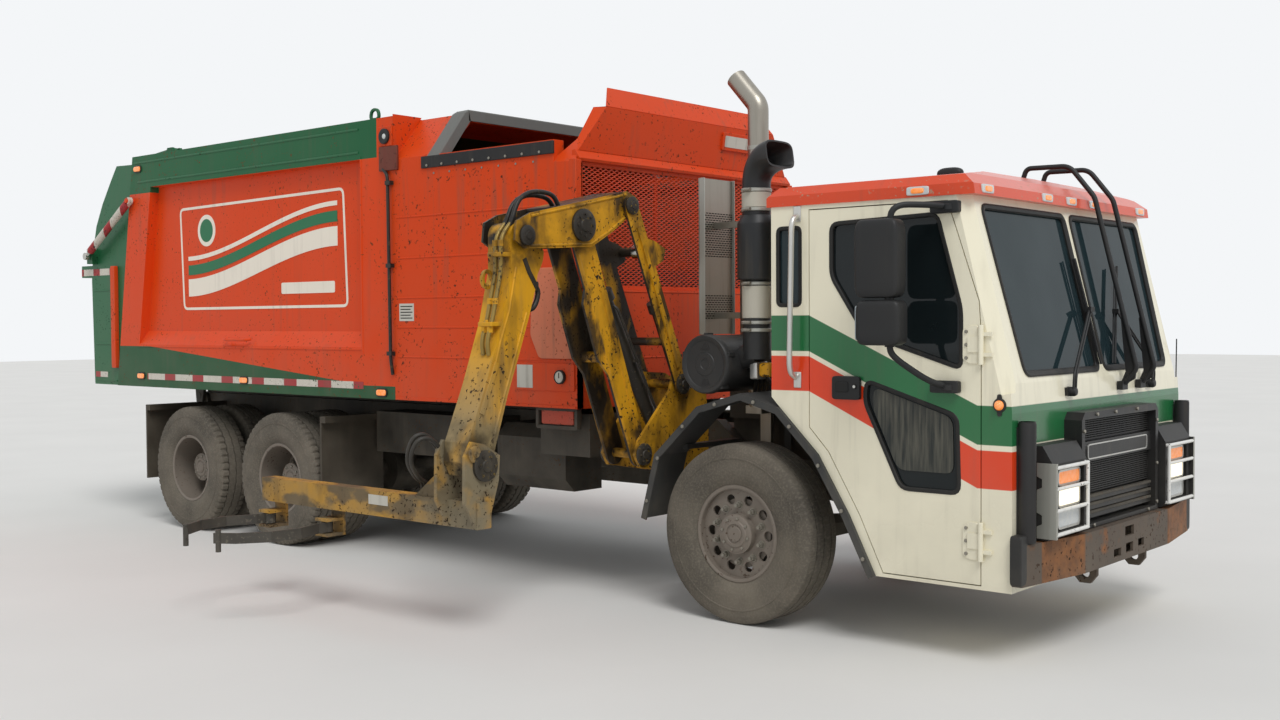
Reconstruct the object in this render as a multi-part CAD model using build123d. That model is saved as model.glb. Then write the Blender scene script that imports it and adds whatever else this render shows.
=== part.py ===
from build123d import *
import math
import os

# Side-loading refuse truck, in millimetres.
# +X points to the truck's front, +Y to its left, +Z up.
# The origin lies on the ground, under the middle of the front axle.
# The loading arm stands on the right side, reached out with its fingers closed.

# Clearances
GAP = 6.0           # between two bodies that move past each other
SEAT = 0.3          # round faces that sit on each other
PIN_PLAY = 0.3      # pin in its eye

# Wheels
TYRE_R = 533.0
FRONT_TYRE_W = 312.0
REAR_TYRE_W = 285.0
DUAL_SPACING = 335.0
RIM_R = 285.0
RIM_WALL = 22.0
DISC_T = 14.0
HUB_R = 118.0
HAND_HOLE_R = 30.0
HAND_HOLE_PCR = 205.0
HAND_HOLES = 10
SPINDLE_R = 42.0
WHEEL_OUT_Y = 1200.0        # outer face of the front tyres
DUAL_OUT_Y = 1220.0         # outer face of the rear tyres
REAR_AXLES_X = (-4550.0, -5870.0)
KINGPIN_Y = 868.0
KINGPIN_R = 24.0
DRUM_R = 205.0

# Frame
RAIL_OUT_Y = 430.0
RAIL_W = 90.0
RAIL_T = 12.0
RAIL_BOTTOM = 860.0
RAIL_TOP = 1130.0
FRONT_RAIL_BOTTOM = 690.0
FRONT_RAIL_TOP = 900.0
RAIL_FRONT_X = 1560.0
RAIL_REAR_X = -7000.0
KINK_REAR_X = -700.0
KINK_FRONT_X = -420.0

# Cab
CAB_HALF = 1190.0
CAB_WALL = 45.0
CAB_BACK_X = 270.0
CAB_FRONT_X = 1740.0
CAB_BOTTOM = 400.0
BELT_X = 1730.0
BELT_Z = 1460.0
HEADER_X = 1490.0
HEADER_Z = 2430.0
PILLAR_CUT = 62.0
TUNNEL_HALF = 455.0
TUNNEL_TOP = 930.0
TUNNEL_WALL = 20.0
ROOF_HALF = CAB_HALF + 10.0
ROOF_TOP = 2605.0
GLASS_T = 10.0
DOOR_T = 45.0
SEAT_Y = CAB_HALF - 405.0       # middle of each seat
SEAT_HALF = 255.0
STEERING_Y = CAB_HALF - 550.0
DASH_HALF = CAB_HALF - 110.0
MIRROR_Y = CAB_HALF + 255.0     # upright of each mirror arm
GRILLE_HALF = CAB_HALF - 630.0
GRILLE_X = CAB_FRONT_X + 100.0
LAMP_X = CAB_FRONT_X + 135.0
LAMP_Y = (GRILLE_HALF + 25.0, GRILLE_HALF + 450.0)
INTAKE_Y = -(CAB_HALF - 150.0)
DOOR_GAP = 6.0
DOOR_REAR_X = 530.0
DOOR_FRONT_X = 1568.0
DOOR_TOP = 2400.0
HINGE_OUT = 14.0
HINGE_R = 13.0
HINGE_PIN_R = 6.0

# Bumper
BUMPER_BOTTOM = 440.0
BUMPER_TOP = 650.0
BUMPER_T = 16.0
BUMPER_HALF = CAB_HALF + 10.0
BUMPER_X = 1885.0
BUMPER_BACK_X = CAB_FRONT_X + 4.0
TOW_EYE_R = 26.0
TOW_EYE_T = 30.0
TOW_EYE_X = BUMPER_X - 105.0
TOW_EYE_Z = 395.0

# Body that tips
BODY_HALF = 1220.0
BODY_WALL = 120.0
PANEL_RECESS = 80.0
BODY_BOTTOM = 1222.0
FLOOR_T = 70.0
BODY_TOP = 3285.0
ROOF_T = 60.0
BODY_REAR_X = -7030.0
BODY_REAR_TOP_X = -6706.0
BODY_FRONT_X = -3050.0
HOPPER_FRONT_X = -1230.0
HOPPER_WALL = 60.0
SILL_TOP = 2970.0
RUNNER_BOTTOM = 1136.0
TILT_X = -6850.0
TILT_Z = 1100.0
TILT_PIN_R = 30.0

# Tailgate
GATE_HALF = BODY_HALF - 40.0
GATE_WALL = 60.0
GATE_HINGE_X = -6520.0
GATE_HINGE_Z = BODY_TOP + 50.0
GATE_TOP = BODY_TOP - 60.0
GATE_ARM_Y = BODY_HALF - 310.0
GATE_ARM_T = 38.0
CLEVIS_T = 25.0
GATE_PIN_R = 22.0
GATE_CYL_Y = BODY_HALF + 42.0
GATE_CYL_BASE = (-6700.0, 2890.0)
GATE_CYL_EYE = (-7490.0, 2420.0)
GATE_CYL_R = 34.0
GATE_ROD_R = 19.0

# Hoist under the body
HOIST_Y = 220.0
HOIST_BASE = (-3300.0, 760.0)
HOIST_EYE = (-5000.0, 1150.0)
HOIST_R = 60.0
HOIST_ROD_R = 38.0

# Loading arm: pivots as (Y, Z), arm's middle plane at ARM_X
ARM_X = -920.0
BOOM_BASE = (-1100.0, 950.0)
BOOM_HEAD = (-1640.0, 2360.0)
LINK_BASE = (-740.0, 1380.0)
LINK_HEAD = (-1230.0, 2500.0)
ELBOW = (-2110.0, 2280.0)
WRIST = (-2440.0, 990.0)
LIFT_BASE = (-774.0, 1010.0)
LIFT_EYE = (-1500.0, 2290.0)
REACH_BASE = (-545.0, 1360.0)
REACH_EYE = (-960.0, 2230.0)
BOOM_IN, BOOM_OUT = 92.0, 112.0
TOP_IN, TOP_OUT = 124.0, 142.0
LINK_IN, LINK_OUT = 154.0, 172.0
BASE_IN, BASE_OUT = 122.0, 144.0
ARM_PIN_R = 30.0
LIFT_R = 46.0
LIFT_ROD_R = 24.0
REACH_R = 42.0
REACH_ROD_R = 22.0
LIFT_RETRACT = 135.0        # how far each rod slides in from rest
REACH_RETRACT = 95.0
EYE_HALF = 35.0
FOREARM_HALF = 95.0
FOREARM_WALL = 14.0
FINGER_Z = (500.0, 562.0)
FINGER_T = 16.0
BIN_CENTRE = (-2450.0, -2820.0)
GRIP_R = 392.0
FINGER_HINGE_X = (-2150.0, -2750.0)
FINGER_HINGE_Y = -2500.0
BEAM_Z = (640.0, 790.0)
BEAM_Y = (-2505.0, -2405.0)


def box(x, y, z):
    """A block between two X, two Y and two Z values."""
    size = (x[1] - x[0], y[1] - y[0], z[1] - z[0])
    middle = ((x[0] + x[1]) / 2, (y[0] + y[1]) / 2, (z[0] + z[1]) / 2)
    return Pos(*middle) * Box(*size)


def side_plate(points, y0, y1, radius=0.0):
    """An outline of (X, Z) points, as a plate from y0 to y1."""
    return prism([(x, y0, z) for x, z in points], (0, 1, 0), y1 - y0, radius)


def cross_plate(points, x0, x1, radius=0.0):
    """An outline of (Y, Z) points, as a plate from x0 to x1."""
    return prism([(x0, y, z) for y, z in points], (1, 0, 0), x1 - x0, radius)


def plan_plate(points, z0, z1, radius=0.0):
    """An outline of (X, Y) points, as a plate from z0 to z1."""
    return prism([(x, y, z0) for x, y in points], (0, 0, 1), z1 - z0, radius)


def prism(corners, direction, length, radius=0.0):
    if radius:
        outline = FilletPolyline(*corners, radius=radius, close=True)
    else:
        outline = Polyline(*corners, close=True)
    face = make_face(outline.edges())
    return extrude(face, amount=length, dir=direction)


def rod(start, end, radius):
    """A round bar between two points."""
    run = Vector(*end) - Vector(*start)
    plane = Plane(origin=Vector(*start), z_dir=run)
    bar = Cylinder(radius, run.length, align=(Align.CENTER, Align.CENTER, Align.MIN))
    return plane * bar


def bar_x(y, z, x0, x1, radius):
    return rod((x0, y, z), (x1, y, z), radius)


def bar_y(x, z, y0, y1, radius):
    return rod((x, y0, z), (x, y1, z), radius)


def bent_tube(points, radius, bends):
    """A tube along straight runs joined by arcs."""
    path = FilletPolyline(*points, radius=bends)
    start = Plane(origin=path @ 0, z_dir=path % 0)
    return sweep(start * Circle(radius), path=path)


def fuse(first, *others):
    """Join solids that meet into one solid."""
    whole = first
    for other in others:
        whole = whole + other
    return whole


def group(*shapes):
    """Keep solids that don't meet together in one piece."""
    solids = []
    for shape in shapes:
        solids.extend(shape.solids())
    return Compound(children=solids)


def mirrored(shape):
    """The same piece on the other side of the truck."""
    return mirror(shape, about=Plane.XZ)


def both_sides(shape):
    return group(shape, mirrored(shape))


def capsule(p, q, rp, rq, x0, x1):
    """A link plate in the arm's plane: round at both (Y, Z) ends, straight between."""
    run = math.hypot(q[0] - p[0], q[1] - p[1])
    ux, uz = (q[0] - p[0]) / run, (q[1] - p[1]) / run
    nx, nz = -uz, ux
    corners = [
        (p[0] + nx * rp, p[1] + nz * rp), (q[0] + nx * rq, q[1] + nz * rq),
        (q[0] - nx * rq, q[1] - nz * rq), (p[0] - nx * rp, p[1] - nz * rp)]
    web = cross_plate(corners, x0, x1)
    return fuse(web, bar_x(*p, x0, x1, rp), bar_x(*q, x0, x1, rq))


def pair_about_arm(make, inner, outer):
    """The same plate on both sides of the arm's middle plane."""
    return make(ARM_X - outer, ARM_X - inner), make(ARM_X + inner, ARM_X + outer)


NODES = {}

# Wheel arch, as (X, Z) points from the cab's lower corner back to the rear lower end
ARCH = [(955, 400), (790, 720), (590, 1040), (330, 1290), (60, 1365),
        (-260, 1275), (-590, 970), (-700, 570)]
FENDER_T = 14.0
FENDER_LIP = 40.0
FLAP_FRONT_GAP = 37.0       # first rear tyre to the flap before it
FLAP_REAR_GAP = 157.0       # last rear tyre to the flap behind it


def offset_line(points, distance):
    """Shift an open line of points to its right by a distance, corners mitred.

    The arch runs rearwards over the wheel, so its right is away from the wheel.
    """
    shifted = []
    for i, point in enumerate(points):
        before = points[max(i - 1, 0)]
        after = points[min(i + 1, len(points) - 1)]
        a = Vector(point[0] - before[0], point[1] - before[1], 0)
        b = Vector(after[0] - point[0], after[1] - point[1], 0)
        a = b if a.length == 0 else a
        b = a if b.length == 0 else b
        na = Vector(a.Y, -a.X, 0).normalized()
        nb = Vector(b.Y, -b.X, 0).normalized()
        middle = (na + nb).normalized()
        reach = distance / middle.dot(na)
        shifted.append((point[0] + middle.X * reach, point[1] + middle.Y * reach))
    return shifted


# Frame: two channel rails, dropped under the cab, and cross members
def rail_outline(inset):
    i = inset
    return [(RAIL_REAR_X + i, RAIL_BOTTOM + i), (KINK_REAR_X - i, RAIL_BOTTOM + i),
            (KINK_FRONT_X - i, FRONT_RAIL_BOTTOM + i), (RAIL_FRONT_X - i, FRONT_RAIL_BOTTOM + i),
            (RAIL_FRONT_X - i, FRONT_RAIL_TOP - i), (KINK_FRONT_X + i, FRONT_RAIL_TOP - i),
            (KINK_REAR_X + i, RAIL_TOP - i), (RAIL_REAR_X + i, RAIL_TOP - i)]


def frame_rails():
    rail = side_plate(rail_outline(0), RAIL_OUT_Y - RAIL_W, RAIL_OUT_Y)
    rail -= side_plate(rail_outline(RAIL_T), RAIL_OUT_Y - RAIL_W - 1, RAIL_OUT_Y - RAIL_T)
    inner = RAIL_OUT_Y - RAIL_T
    whole = fuse(rail, mirrored(rail))
    # X of each cross member, its low and high Z
    for x, low, high in ((1480, 700, 890), (-1330, 872, 1118), (-2300, 872, 1118),
                         (-3160, 872, 1118), (-5210, 872, 1118), (-6930, 872, 1118)):
        whole += box((x - 30, x + 30), (-inner - 1, inner + 1), (low, high))
    # Feet for the body hoist and lugs for the tipping hinge
    for y in (HOIST_Y - 85, HOIST_Y + 65):
        foot = side_plate([(-3190, 872), (-3130, 872), (-3230, 690), (-3370, 690), (-3370, 820)],
                          y, y + 20)
        whole += foot + mirrored(foot)
    base_pin = bar_y(*HOIST_BASE, HOIST_Y - 80, HOIST_Y + 80, 24)
    whole += base_pin + mirrored(base_pin)
    lug = side_plate([(-6960, 1000), (-6740, 1000), (-6790, 1130), (-6910, 1130)],
                     RAIL_OUT_Y - 1, RAIL_OUT_Y + 30)
    pin = bar_y(TILT_X, TILT_Z, RAIL_OUT_Y - 1, RAIL_OUT_Y + 70, TILT_PIN_R)
    whole += lug + mirrored(lug) + pin + mirrored(pin)
    return whole


NODES["frame_rails"] = frame_rails()


# Bumper: a swept channel with three slots, and two brackets to the rails
def front_bumper():
    def band(inset, z0, z1):
        x = BUMPER_X - inset
        return plan_plate([(x - 85, -BUMPER_HALF), (x, -620), (x, 620), (x - 85, BUMPER_HALF),
                           (BUMPER_BACK_X, BUMPER_HALF), (BUMPER_BACK_X, -BUMPER_HALF)], z0, z1)
    bumper = band(0, BUMPER_BOTTOM, BUMPER_TOP)
    bumper -= band(BUMPER_T, BUMPER_BOTTOM + BUMPER_T, BUMPER_TOP - BUMPER_T)
    # Y, Z, width and height of each slot
    for y, z, width, height in ((0, 595, 130, 55), (0, 500, 105, 55), (-175, 492, 105, 45),
                                (175, 508, 90, 45)):
        bumper -= box((BUMPER_X - 60, BUMPER_X + 10), (y - width / 2, y + width / 2),
                      (z - height / 2, z + height / 2))
    arm = side_plate([(RAIL_FRONT_X, FRONT_RAIL_TOP), (RAIL_FRONT_X, 470), (BUMPER_X - 12, 470),
                      (BUMPER_X - 12, 620), (CAB_FRONT_X, 640), (CAB_FRONT_X - 80, FRONT_RAIL_TOP)],
                     RAIL_OUT_Y - RAIL_W, RAIL_OUT_Y - RAIL_W + 20)
    x, z = TOW_EYE_X, TOW_EYE_Z
    lug = side_plate([(x - 70, 480), (x + 65, 480), (x + 65, z - 10), (x + 30, z - 55),
                      (x - 30, z - 55), (x - 70, z - 10)],
                     RAIL_OUT_Y - RAIL_W, RAIL_OUT_Y - RAIL_W + TOW_EYE_T)
    lug -= bar_y(x, z, 0, 600, TOW_EYE_R)
    carrier = arm + lug
    return bumper + carrier + mirrored(carrier)


NODES["front_bumper"] = front_bumper()


# Front axle: dropped beam, kingpin bosses and leaf springs with hangers
def front_axle():
    half = [(690, 400), (790, 485), (KINGPIN_Y, 485), (KINGPIN_Y, 582), (790, 582), (700, 500)]
    beam = cross_plate(half + [(-y, z) for y, z in half[::-1]], -48, 48)
    for side in (-1, 1):
        boss = rod((0, side * KINGPIN_Y, 470), (0, side * KINGPIN_Y, 596), 46)
        pin = rod((0, side * KINGPIN_Y, 430), (0, side * KINGPIN_Y, 636), KINGPIN_R)
        spring = side_plate([(-760, 610), (0, 500), (760, 610), (760, 640), (0, 560), (-760, 640)],
                            side * 385 - 40, side * 385 + 40)
        beam = beam + boss + pin + spring
        for x in (-745, 745):
            beam += box((x - 28, x + 28), (side * 385 - 40, side * 385 + 40), (615, 690))
    return beam


NODES["front_axle"] = front_axle()


# Rear axles: two housings, walking beams, trunnion and propeller shaft
def rear_axles():
    whole = None
    for x in REAR_AXLES_X:
        housing = bar_y(x, TYRE_R, -575, 575, 78)
        drive = bar_y(x, TYRE_R, -150, 150, 205)
        nose = rod((x, 0, TYRE_R + 40), (x + 320, 0, TYRE_R + 60), 95)
        stub = bar_y(x, TYRE_R, -DUAL_OUT_Y + 180, DUAL_OUT_Y - 180, SPINDLE_R)
        axle = housing + drive + nose + stub
        whole = axle if whole is None else whole + axle
    middle = sum(REAR_AXLES_X) / 2
    for side in (-1, 1):
        y0, y1 = side * 385 - 42, side * 385 + 42
        low, end, high = TYRE_R + 57, TYRE_R + 127, TYRE_R + 227
        beam = side_plate([(REAR_AXLES_X[1] - 90, low), (REAR_AXLES_X[0] + 90, low),
                           (REAR_AXLES_X[0] + 90, end), (middle + 160, high), (middle - 160, high),
                           (REAR_AXLES_X[1] - 90, end)], y0, y1)
        foot = high - 60
        saddle = side_plate([(middle - 190, foot), (middle + 190, foot), (middle + 130, RAIL_BOTTOM),
                             (middle - 130, RAIL_BOTTOM)], y0, y1)
        whole = whole + beam + saddle
    whole += rod((REAR_AXLES_X[1] + 300, 0, TYRE_R + 58), (REAR_AXLES_X[0] - 150, 0, TYRE_R + 30), 45)
    whole += rod((REAR_AXLES_X[0] + 300, 0, TYRE_R + 58), (-1206, 0, 800), 52)
    return whole


NODES["rear_axles"] = rear_axles()

# Engine and gearbox, one block between and over the rails
NODES["engine_block"] = fuse(
    box((-640, 230), (-RAIL_OUT_Y + RAIL_W + 12, RAIL_OUT_Y - RAIL_W - 12), (660, 1180)),
    box((-620, 200), (-400, 400), (1150, 1560)),
    box((-1200, -600), (-200, 200), (690, 1060)),
    box((-600, -540), (-RAIL_OUT_Y + RAIL_T, RAIL_OUT_Y - RAIL_T), (880, 980)))


# Tanks and boxes hung outside the rails, and the steps under them
def chassis_tanks():
    # X range, side, Y reach, Z range, and whether it is round
    rows = (((-2420, -1740), -1, 800, (600, 1060), "tank"),
            ((-1690, -1240), -1, 1090, (900, 1180), "box"),
            ((-3900, -2560), -1, 720, (760, 1080), "box"),
            ((-2900, -1300), 1, 1000, (520, 1080), "tank"),
            ((-3900, -3040), 1, 900, (620, 1080), "box"))
    pieces = []
    for x, side, reach, z, form in rows:
        y = sorted((side * RAIL_OUT_Y, side * reach))
        if form == "tank":
            bevel = 90
            outer = side * reach
            inner = side * RAIL_OUT_Y
            shape = cross_plate([(inner, z[0]), (outer - side * bevel, z[0]), (outer, z[0] + bevel),
                                 (outer, z[1] - bevel), (outer - side * bevel, z[1]),
                                 (inner, z[1])], *x)
        else:
            shape = box(x, y, z)
        pieces.append(shape)
    return group(*pieces)


NODES["chassis_tanks"] = chassis_tanks()


# Cab: side outline as (X, Z) points
def cab_side(inset):
    i = inset
    low = offset_line(ARCH[:4], i) if i else ARCH[:4]
    slope = (BELT_X - HEADER_X) / (HEADER_Z - BELT_Z)
    top = HEADER_Z + (200 if i else 0)
    top_x = HEADER_X - i - (top - HEADER_Z) * slope
    return ([(CAB_FRONT_X - i, CAB_BOTTOM + i), (CAB_FRONT_X - i, 1310), (BELT_X - i, BELT_Z),
             (top_x, top), (CAB_BACK_X + i, top), (CAB_BACK_X + i, low[3][1] + 60)]
            + [low[3], low[2], low[1], (low[0][0] + i * 0.5, CAB_BOTTOM + i)])


def windscreen_plane(depth=0.0):
    """A plane on the windscreen: x to the left, y up the glass, z outward."""
    normal = Vector(HEADER_Z - BELT_Z, 0, BELT_X - HEADER_X).normalized()
    return Plane(origin=Vector(BELT_X, 0, BELT_Z) + normal * depth, x_dir=(0, 1, 0), z_dir=normal)


SCREEN_H = math.hypot(BELT_X - HEADER_X, HEADER_Z - BELT_Z)


def screen_pane(side, grow, depth0, depth1):
    """One windscreen pane, wider at its top."""
    g = grow
    low, high = CAB_HALF - 190, CAB_HALF - 128
    points = [(38 - g, 42 - g), (low + g, 42 - g), (high + g, SCREEN_H - 52 + g),
              (38 - g, SCREEN_H - 52 + g)]
    outline = FilletPolyline(*[(side * a, b) for a, b in points], radius=55 + g, close=True)
    face = make_face(outline.edges())
    return windscreen_plane(depth0) * extrude(face, amount=depth1 - depth0, dir=(0, 0, 1))


DOOR_OUTLINE = [(DOOR_REAR_X, DOOR_TOP), (1378, DOOR_TOP), (1556, 1880), (DOOR_FRONT_X, 1700),
                (DOOR_FRONT_X, 425), (1000, 425), (855, 725), (655, 1060), (DOOR_REAR_X, 1190)]
DOOR_WINDOW = [(668, 2320), (1322, 2340), (1462, 1842), (1462, 1530), (880, 1712), (668, 2030)]
KICK_WINDOW = [(892, 1462), (1440, 1290), (1452, 885), (1105, 885), (880, 1345)]
QUARTER_WINDOW = [(312, 2310), (470, 2310), (470, 1870), (312, 1870)]


def grown(points, distance):
    """The same outline, larger by a distance on every side, corners mitred."""
    closed = points[-1:] + points + points[:1]
    turn = sum(closed[i][0] * closed[i + 1][1] - closed[i + 1][0] * closed[i][1]
               for i in range(1, len(closed) - 1))
    return offset_line(closed, distance if turn > 0 else -distance)[1:-1]


def window_cut(points, radius, y0, y1, grow=0.0):
    return side_plate(grown(points, grow) if grow else points, y0, y1, radius + grow)


def cab_shell():
    outer = side_plate(cab_side(0), -CAB_HALF, CAB_HALF)
    inner = side_plate(cab_side(CAB_WALL), -CAB_HALF + CAB_WALL, CAB_HALF - CAB_WALL)
    shell = outer - inner
    # Doghouse over the rails, its space open below and in front
    hood = box((CAB_BACK_X + 20, CAB_FRONT_X - 20),
               (-TUNNEL_HALF - TUNNEL_WALL, TUNNEL_HALF + TUNNEL_WALL),
               (CAB_BOTTOM + 10, TUNNEL_TOP + TUNNEL_WALL))
    shell += hood & outer
    shell -= box((CAB_BACK_X - 50, CAB_FRONT_X + 50), (-TUNNEL_HALF, TUNNEL_HALF), (300, TUNNEL_TOP))
    # Grille opening in the front wall
    shell -= box((CAB_FRONT_X - CAB_WALL - 60, CAB_FRONT_X + 50), (-520, 520), (TUNNEL_TOP + 60, 1240))
    for side in (-1, 1):
        shell -= screen_pane(side, 0, -80, 40)
        y = sorted((side * (CAB_HALF - CAB_WALL - 5), side * (CAB_HALF + 20)))
        shell -= side_plate(grown(DOOR_OUTLINE, DOOR_GAP), *y)
        shell -= window_cut(QUARTER_WINDOW, 25, *y)
        # Chamfered corner beside the windscreen, from the belt to the roof
        slope = math.degrees(math.atan2(BELT_X - HEADER_X, HEADER_Z - BELT_Z))
        wedge = Rot(0, 0, 45 * side) * box((0, 200), (-300, 300), (-60, SCREEN_H + 200))
        wedge = Pos(BELT_X - PILLAR_CUT, side * CAB_HALF, BELT_Z) * (Rot(0, -slope, 0) * wedge)
        shell -= wedge
    # Fixed hinge lugs, above and below each door hinge
    for z in (650, 1660):
        for low in (z - 62, z + 42):
            for side in (-1, 1):
                y = side * (CAB_HALF + HINGE_OUT)
                lug = rod((HINGE_X, y, low), (HINGE_X, y, low + 20), HINGE_R)
                plate = box((HINGE_X + 2, HINGE_X + 60),
                            sorted((side * (CAB_HALF - 2), side * (CAB_HALF + HINGE_OUT))),
                            (low, low + 20))
                shell += lug + plate
    return shell


HINGE_X = DOOR_FRONT_X + 8
NODES["cab_shell"] = cab_shell()


def cab_cavity():
    return side_plate(cab_side(CAB_WALL), -CAB_HALF + CAB_WALL, CAB_HALF - CAB_WALL)


def cab_roof():
    half = [(ROOF_HALF, HEADER_Z), (ROOF_HALF, HEADER_Z + 60), (ROOF_HALF - 40, ROOF_TOP - 65),
            (ROOF_HALF - 500, ROOF_TOP - 10)]
    outline = half + [(0, ROOF_TOP)] + [(-y, z) for y, z in half[::-1]]
    side = [(245, HEADER_Z), (1540, HEADER_Z), (1532, 2485), (1450, 2550), (1300, 2610),
            (430, 2610), (330, 2560), (245, 2480)]
    cap = cross_plate(outline, 200, 1600) & side_plate(side, -ROOF_HALF, ROOF_HALF)
    low = [(ROOF_HALF - 60, HEADER_Z - 1), (ROOF_HALF - 60, HEADER_Z + 45),
           (ROOF_HALF - 500, ROOF_TOP - 60)]
    cap -= cross_plate(low + [(-y, z) for y, z in low[::-1]], 330, 1420)
    return cap


NODES["cab_roof"] = cab_roof()

glass = []
for side in (-1, 1):
    glass.append(screen_pane(side, -SEAT, -24, -24 + GLASS_T))
    y = sorted((side * (CAB_HALF - 14), side * (CAB_HALF - 14 - GLASS_T)))
    glass.append(window_cut(QUARTER_WINDOW, 25, *y, grow=-SEAT))
NODES["cab_glass"] = group(*glass)


# Dashboard across the cab, with a steering column and wheel on each side
def dashboard():
    desk = side_plate([(1380, 1180), (1380, 1400), (1480, 1450), (1800, 1450), (1800, 1180)],
                      -DASH_HALF, DASH_HALF) & cab_cavity()
    desk -= box((1300, 1900), (-CAB_HALF, CAB_HALF), (1440, 1500))
    for side in (-1, 1):
        y = side * STEERING_Y
        foot = (1430, y, 1360)
        centre = (1235, y, 1600)
        column = rod(foot, centre, 32)
        plane = Plane(origin=Vector(*centre), z_dir=Vector(*centre) - Vector(*foot))
        rim = plane * Torus(215, 15)
        spokes = plane * Box(430, 34, 14) + plane * Box(34, 430, 14)
        desk = desk + column + rim + spokes
    return desk


NODES["dashboard"] = dashboard()


# Two seats, soft, each on a closed pedestal that stands on the cab floor
def cab_seats():
    seats = []
    for side in (-1, 1):
        y0, y1 = side * SEAT_Y - SEAT_HALF, side * SEAT_Y + SEAT_HALF
        cushion = box((430, 940), (y0, y1), (1330, 1450))
        back = side_plate([(330, 1440), (470, 1440), (430, 2080), (330, 2080)], y0 + 20, y1 - 20)
        seats.append(cushion + back)
    return group(*seats)


def seat_pedestals():
    stands = []
    for side in (-1, 1):
        y0, y1 = side * SEAT_Y - SEAT_HALF + 50, side * SEAT_Y + SEAT_HALF - 50
        stands.append(box((480, 860), (y0, y1), (700, 1330)) & cab_cavity())
    return group(*stands)


NODES["cab_seats"] = cab_seats()
NODES["seat_pedestals"] = seat_pedestals()


# Grille: a deep frame with two panels, a plain bar between them and slats below
def grille():
    z0, z1, half, back, front = 655, 1285, GRILLE_HALF, CAB_FRONT_X, GRILLE_X
    frame_out = cross_plate([(-half, z0), (half, z0), (half, z1 - 40), (half - 40, z1),
                             (-half + 40, z1), (-half, z1 - 40)], back, front)
    frame_in = box((back + 18, front + 5), (-half + 40, half - 40), (z0 + 22, z1 - 40))
    body = frame_out - frame_in
    body += box((back, front - 28), (-half + 40, half - 40), (1010, 1120))
    # Z and height of each slat at the foot
    for z, height in ((700, 26), (745, 20), (790, 26)):
        body += box((back, front - 30), (-half + 40, half - 40), (z, z + height))
    body += box((back, front - 60), (-half + 40, half - 40), (830, 1240))
    return body


NODES["grille"] = grille()


# Headlamp pods with a side plate and guard bars
def headlamps():
    x0, x1, z0, z1 = CAB_FRONT_X, LAMP_X, BUMPER_TOP + 8, 1140
    y0, y1 = LAMP_Y
    pod = side_plate([(x0, z0), (x1 - 25, z0), (x1, z0 + 30), (x1, z1 - 90), (x1 - 55, z1),
                      (x0, z1)], y0, y1)
    pod -= box((x1 - 45, x1 + 10), (y0 + 30, y1 - 60), (z0 + 40, z1 - 110))
    # Low and high Z of the two headlights and of the amber lamp over them
    for low, high in ((z0 + 48, z0 + 150), (z0 + 160, z0 + 260), (z0 + 272, z0 + 350)):
        pod += box((x1 - 50, x1 - 22), (y0 + 55, y1 - 90), (low, high))
    bar = 7
    for z in (z0 + 30, z0 + 152, z0 + 264, z0 + 372):
        pod += box((x1 + 8, x1 + 8 + 2 * bar), (y0 + 12, y1), (z - bar, z + bar))
    pod += box((x1 + 8, x1 + 8 + 2 * bar), (y0 + 12, y0 + 12 + 2 * bar), (z0 + 23, z0 + 379))
    for z in (z0 + 30, z0 + 372):
        pod += box((x1 - 20, x1 + 10), (y0 + 12, y0 + 12 + 2 * bar), (z - bar, z + bar))
    pod += box((x1 - 80, x1 + 22), (y1 - 8, y1 + 6), (z0 + 10, z0 + 395))
    return both_sides(pod)


NODES["headlamps"] = headlamps()


# Corner tubes and two bent branch guards with their feet
def cab_guards():
    pieces = []
    for side in (-1, 1):
        x, y = CAB_FRONT_X + 47, side * (CAB_HALF - 75)
        tube = rod((x, y, 655), (x, y, 1270), 42)
        pad = box((CAB_FRONT_X, CAB_FRONT_X + 30), (y - 25, y + 25), (690, 1240))
        pieces.append(tube + pad)
    for y in (220, 500):
        route = [(1150, y - 60, 2575), (1190, y - 60, 2690), (1440, y - 20, 2690), (1585, y, 2500),
                 (1838, y, 1500), (1770, y, 1410)]
        tube = bent_tube(route, 15, [40, 90, 120, 45])
        gusset = side_plate([(1735, 1385), (1830, 1440), (1838, 1500), (1765, 1810), (1745, 1790),
                             (1775, 1480)], y - 6, y + 6)
        foot = box((CAB_FRONT_X - 1, CAB_FRONT_X + 32), (y - 40, y + 40), (1375, 1425))
        pieces.append((tube + gusset + foot) - cab_front_wall() - cab_roof())
    return group(*[max(p.solids(), key=lambda s: s.volume) for p in pieces])


def cab_front_wall():
    return side_plate(cab_side(0), -CAB_HALF, CAB_HALF)


NODES["cab_guards"] = cab_guards()


# Front fenders over the wheels and rubber flaps before the rear wheels
def mudguards():
    pieces = []
    lower = offset_line(ARCH, -FENDER_T)
    band = ARCH + lower[::-1]
    for side in (-1, 1):
        outer = CAB_HALF + 25
        sheet = side_plate(band, *sorted((side * (outer - 310), side * outer)))
        lip = side_plate(ARCH + offset_line(ARCH, -FENDER_LIP)[::-1],
                         *sorted((side * (outer - 12), side * outer)))
        stay = box((-560, -500), sorted((side * RAIL_OUT_Y, side * 1000)), (990, 1020))
        pieces.append(sheet + lip + stay)
        # Rear face of each flap and its lowest Z
        ahead = REAR_AXLES_X[0] + TYRE_R + FLAP_FRONT_GAP
        behind = REAR_AXLES_X[1] - TYRE_R - FLAP_REAR_GAP
        for x, low in ((ahead, 420), (behind, 400)):
            edge = DUAL_OUT_Y - 10
            flap = box((x, x + 20), sorted((side * (edge - 600), side * edge)), (low, 1060))
            arm = box((x + 20, x + 70), sorted((side * RAIL_OUT_Y, side * edge)), (1010, 1060))
            pieces.append(flap + arm)
    return group(*pieces)


NODES["mudguards"] = mudguards()


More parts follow.
